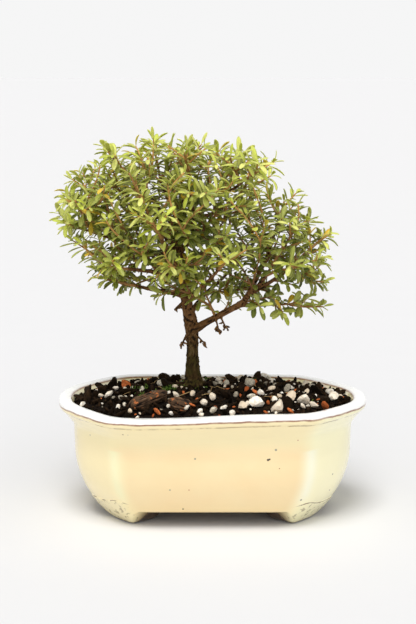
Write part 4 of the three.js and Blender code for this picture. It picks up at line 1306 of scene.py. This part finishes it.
def make_shoot(number, shoot, *looks):
    random = np.random.default_rng(SHOOT_SEED * 1000 + number)
    shape = Shape(across=0, under=0, tone=0.5)
    leaves = leaf_pairs(shoot["line"], BARE_STEM, random)
    shape.tube(fine_line(shoot["line"], 2), 7, 1, age=0.7)
    for twig in shoot["twigs"]:
        # Each twig is painted darker, as painted shade, where its tip gets less light.
        shape.tube(fine_line(twig, 2), 6, 1, age=1 - lit_share(twig[-1, :3]))
        leaves += leaf_pairs(twig, BARE_TWIG, random)
    add_leaves(shape, leaves, random)
    return shape.make(f"leafy_shoot_{number + 1:02d}", *looks)


# Stage, light and camera

CAMERA_TARGET = (-3, 0, 133)
CAMERA_DISTANCE = 950
CAMERA_PITCH = 9.5
CAMERA_LENS = 83.6
FLOOR_HALF = 60
BACKDROP = 0.92
WORLD_LIGHT = 0.3
# Soft distant lights by azimuth, where 0 is the front and 90 the right, elevation, softness and strength.
SUNS = {
    "top": (-14, 68, 24, 1.95),
    "fill": (5, 40, 65, 1.3),
    "left": (-78, 30, 50, 0.38),
    "right": (78, 30, 50, 0.38),
}


def make_floor():
    mesh = bpy.data.meshes.new("floor")
    corners = [(-1, -1, 0), (1, -1, 0), (1, 1, 0), (-1, 1, 0)]
    mesh.from_pydata((np.array(corners) * FLOOR_HALF).tolist(), [], [(0, 1, 2, 3)])
    look = Look("pale_floor")
    look.colour = look.mix(look.noise(40, 2), (0.727, 0.724, 0.728), (0.737, 0.734, 0.736))
    mesh.materials.append(look.surface(0.9, Specular_IOR_Level=0))
    floor = add_object("floor", mesh)


def make_world():
    """A backdrop that the camera and mirrored rays see bright, and that lights the rest less."""
    world = bpy.data.worlds.new("studio")
    world.use_nodes = True
    nodes = Nodes(world.node_tree)
    ray = nodes.node("LightPath").outputs
    seen = nodes.math("MAXIMUM", ray["Is Camera Ray"], ray["Is Glossy Ray"])
    strength = nodes.node("MapRange", {"Value": seen, "To Min": WORLD_LIGHT, "To Max": BACKDROP})
    background = world.node_tree.nodes["Background"].inputs
    nodes.set(background["Color"], (1, 1, 1))
    nodes.set(background["Strength"], strength.outputs[0])
    bpy.context.scene.world = world
    bpy.context.scene.view_settings.view_transform = "Standard"


def add_sun(name, azimuth, elevation, softness, strength):
    light = bpy.data.lights.new(name, "SUN")
    light.angle, light.energy = math.radians(softness), strength
    a, e = math.radians(azimuth), math.radians(elevation)
    back = Vector((math.sin(a) * math.cos(e), -math.cos(a) * math.cos(e), math.sin(e)))
    add_object(name, light).rotation_euler = (-back).to_track_quat("-Z", "Y").to_euler()


def make_camera():
    lens = bpy.data.cameras.new("camera")
    lens.lens, lens.sensor_width = CAMERA_LENS, 36
    lens.clip_start, lens.clip_end = 0.05, 50
    camera = add_object("camera", lens)
    pitch = math.radians(CAMERA_PITCH)
    back = np.array([0, -math.cos(pitch), math.sin(pitch)]) * CAMERA_DISTANCE
    camera.location = (CAMERA_TARGET + back) * MM + POT_CENTRE
    camera.rotation_euler = (math.pi / 2 - pitch, 0, 0)
    bpy.context.scene.camera = camera


def place_piece(piece, slot, *nodes):
    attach(piece, "root")
    if nodes:
        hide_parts(*nodes)


make_camera()
make_floor()
make_world()
for name, settings in SUNS.items():
    add_sun(name, *settings)

place_piece(make_pot(), "glaze", "pot")
screen = screen_look()
for name in ("drain_screen_left", "drain_screen_right"):
    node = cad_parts[name]
    node.data.materials.clear()
    node.data.materials.append(screen)
place_piece(make_bed(), "soil", "soil")
for grains in make_grains():
    place_piece(grains, "soil")
place_piece(make_fibres(), "soil")
place_piece(make_moss(), "leaf")
for number, chip in enumerate(CHIPS, 1):
    place_piece(make_chip(number, *chip), "bark", f"bark_chip_{number}")
place_piece(make_wood(), "bark", "trunk")
place_piece(make_withered(), "leaf")
leaf, young_bark = leaf_look(), twig_look()
for number, shoot in enumerate(grow_shoots()):
    place_piece(make_shoot(number, shoot, leaf, young_bark), "leaf", f"shoot_{number + 1:02d}")
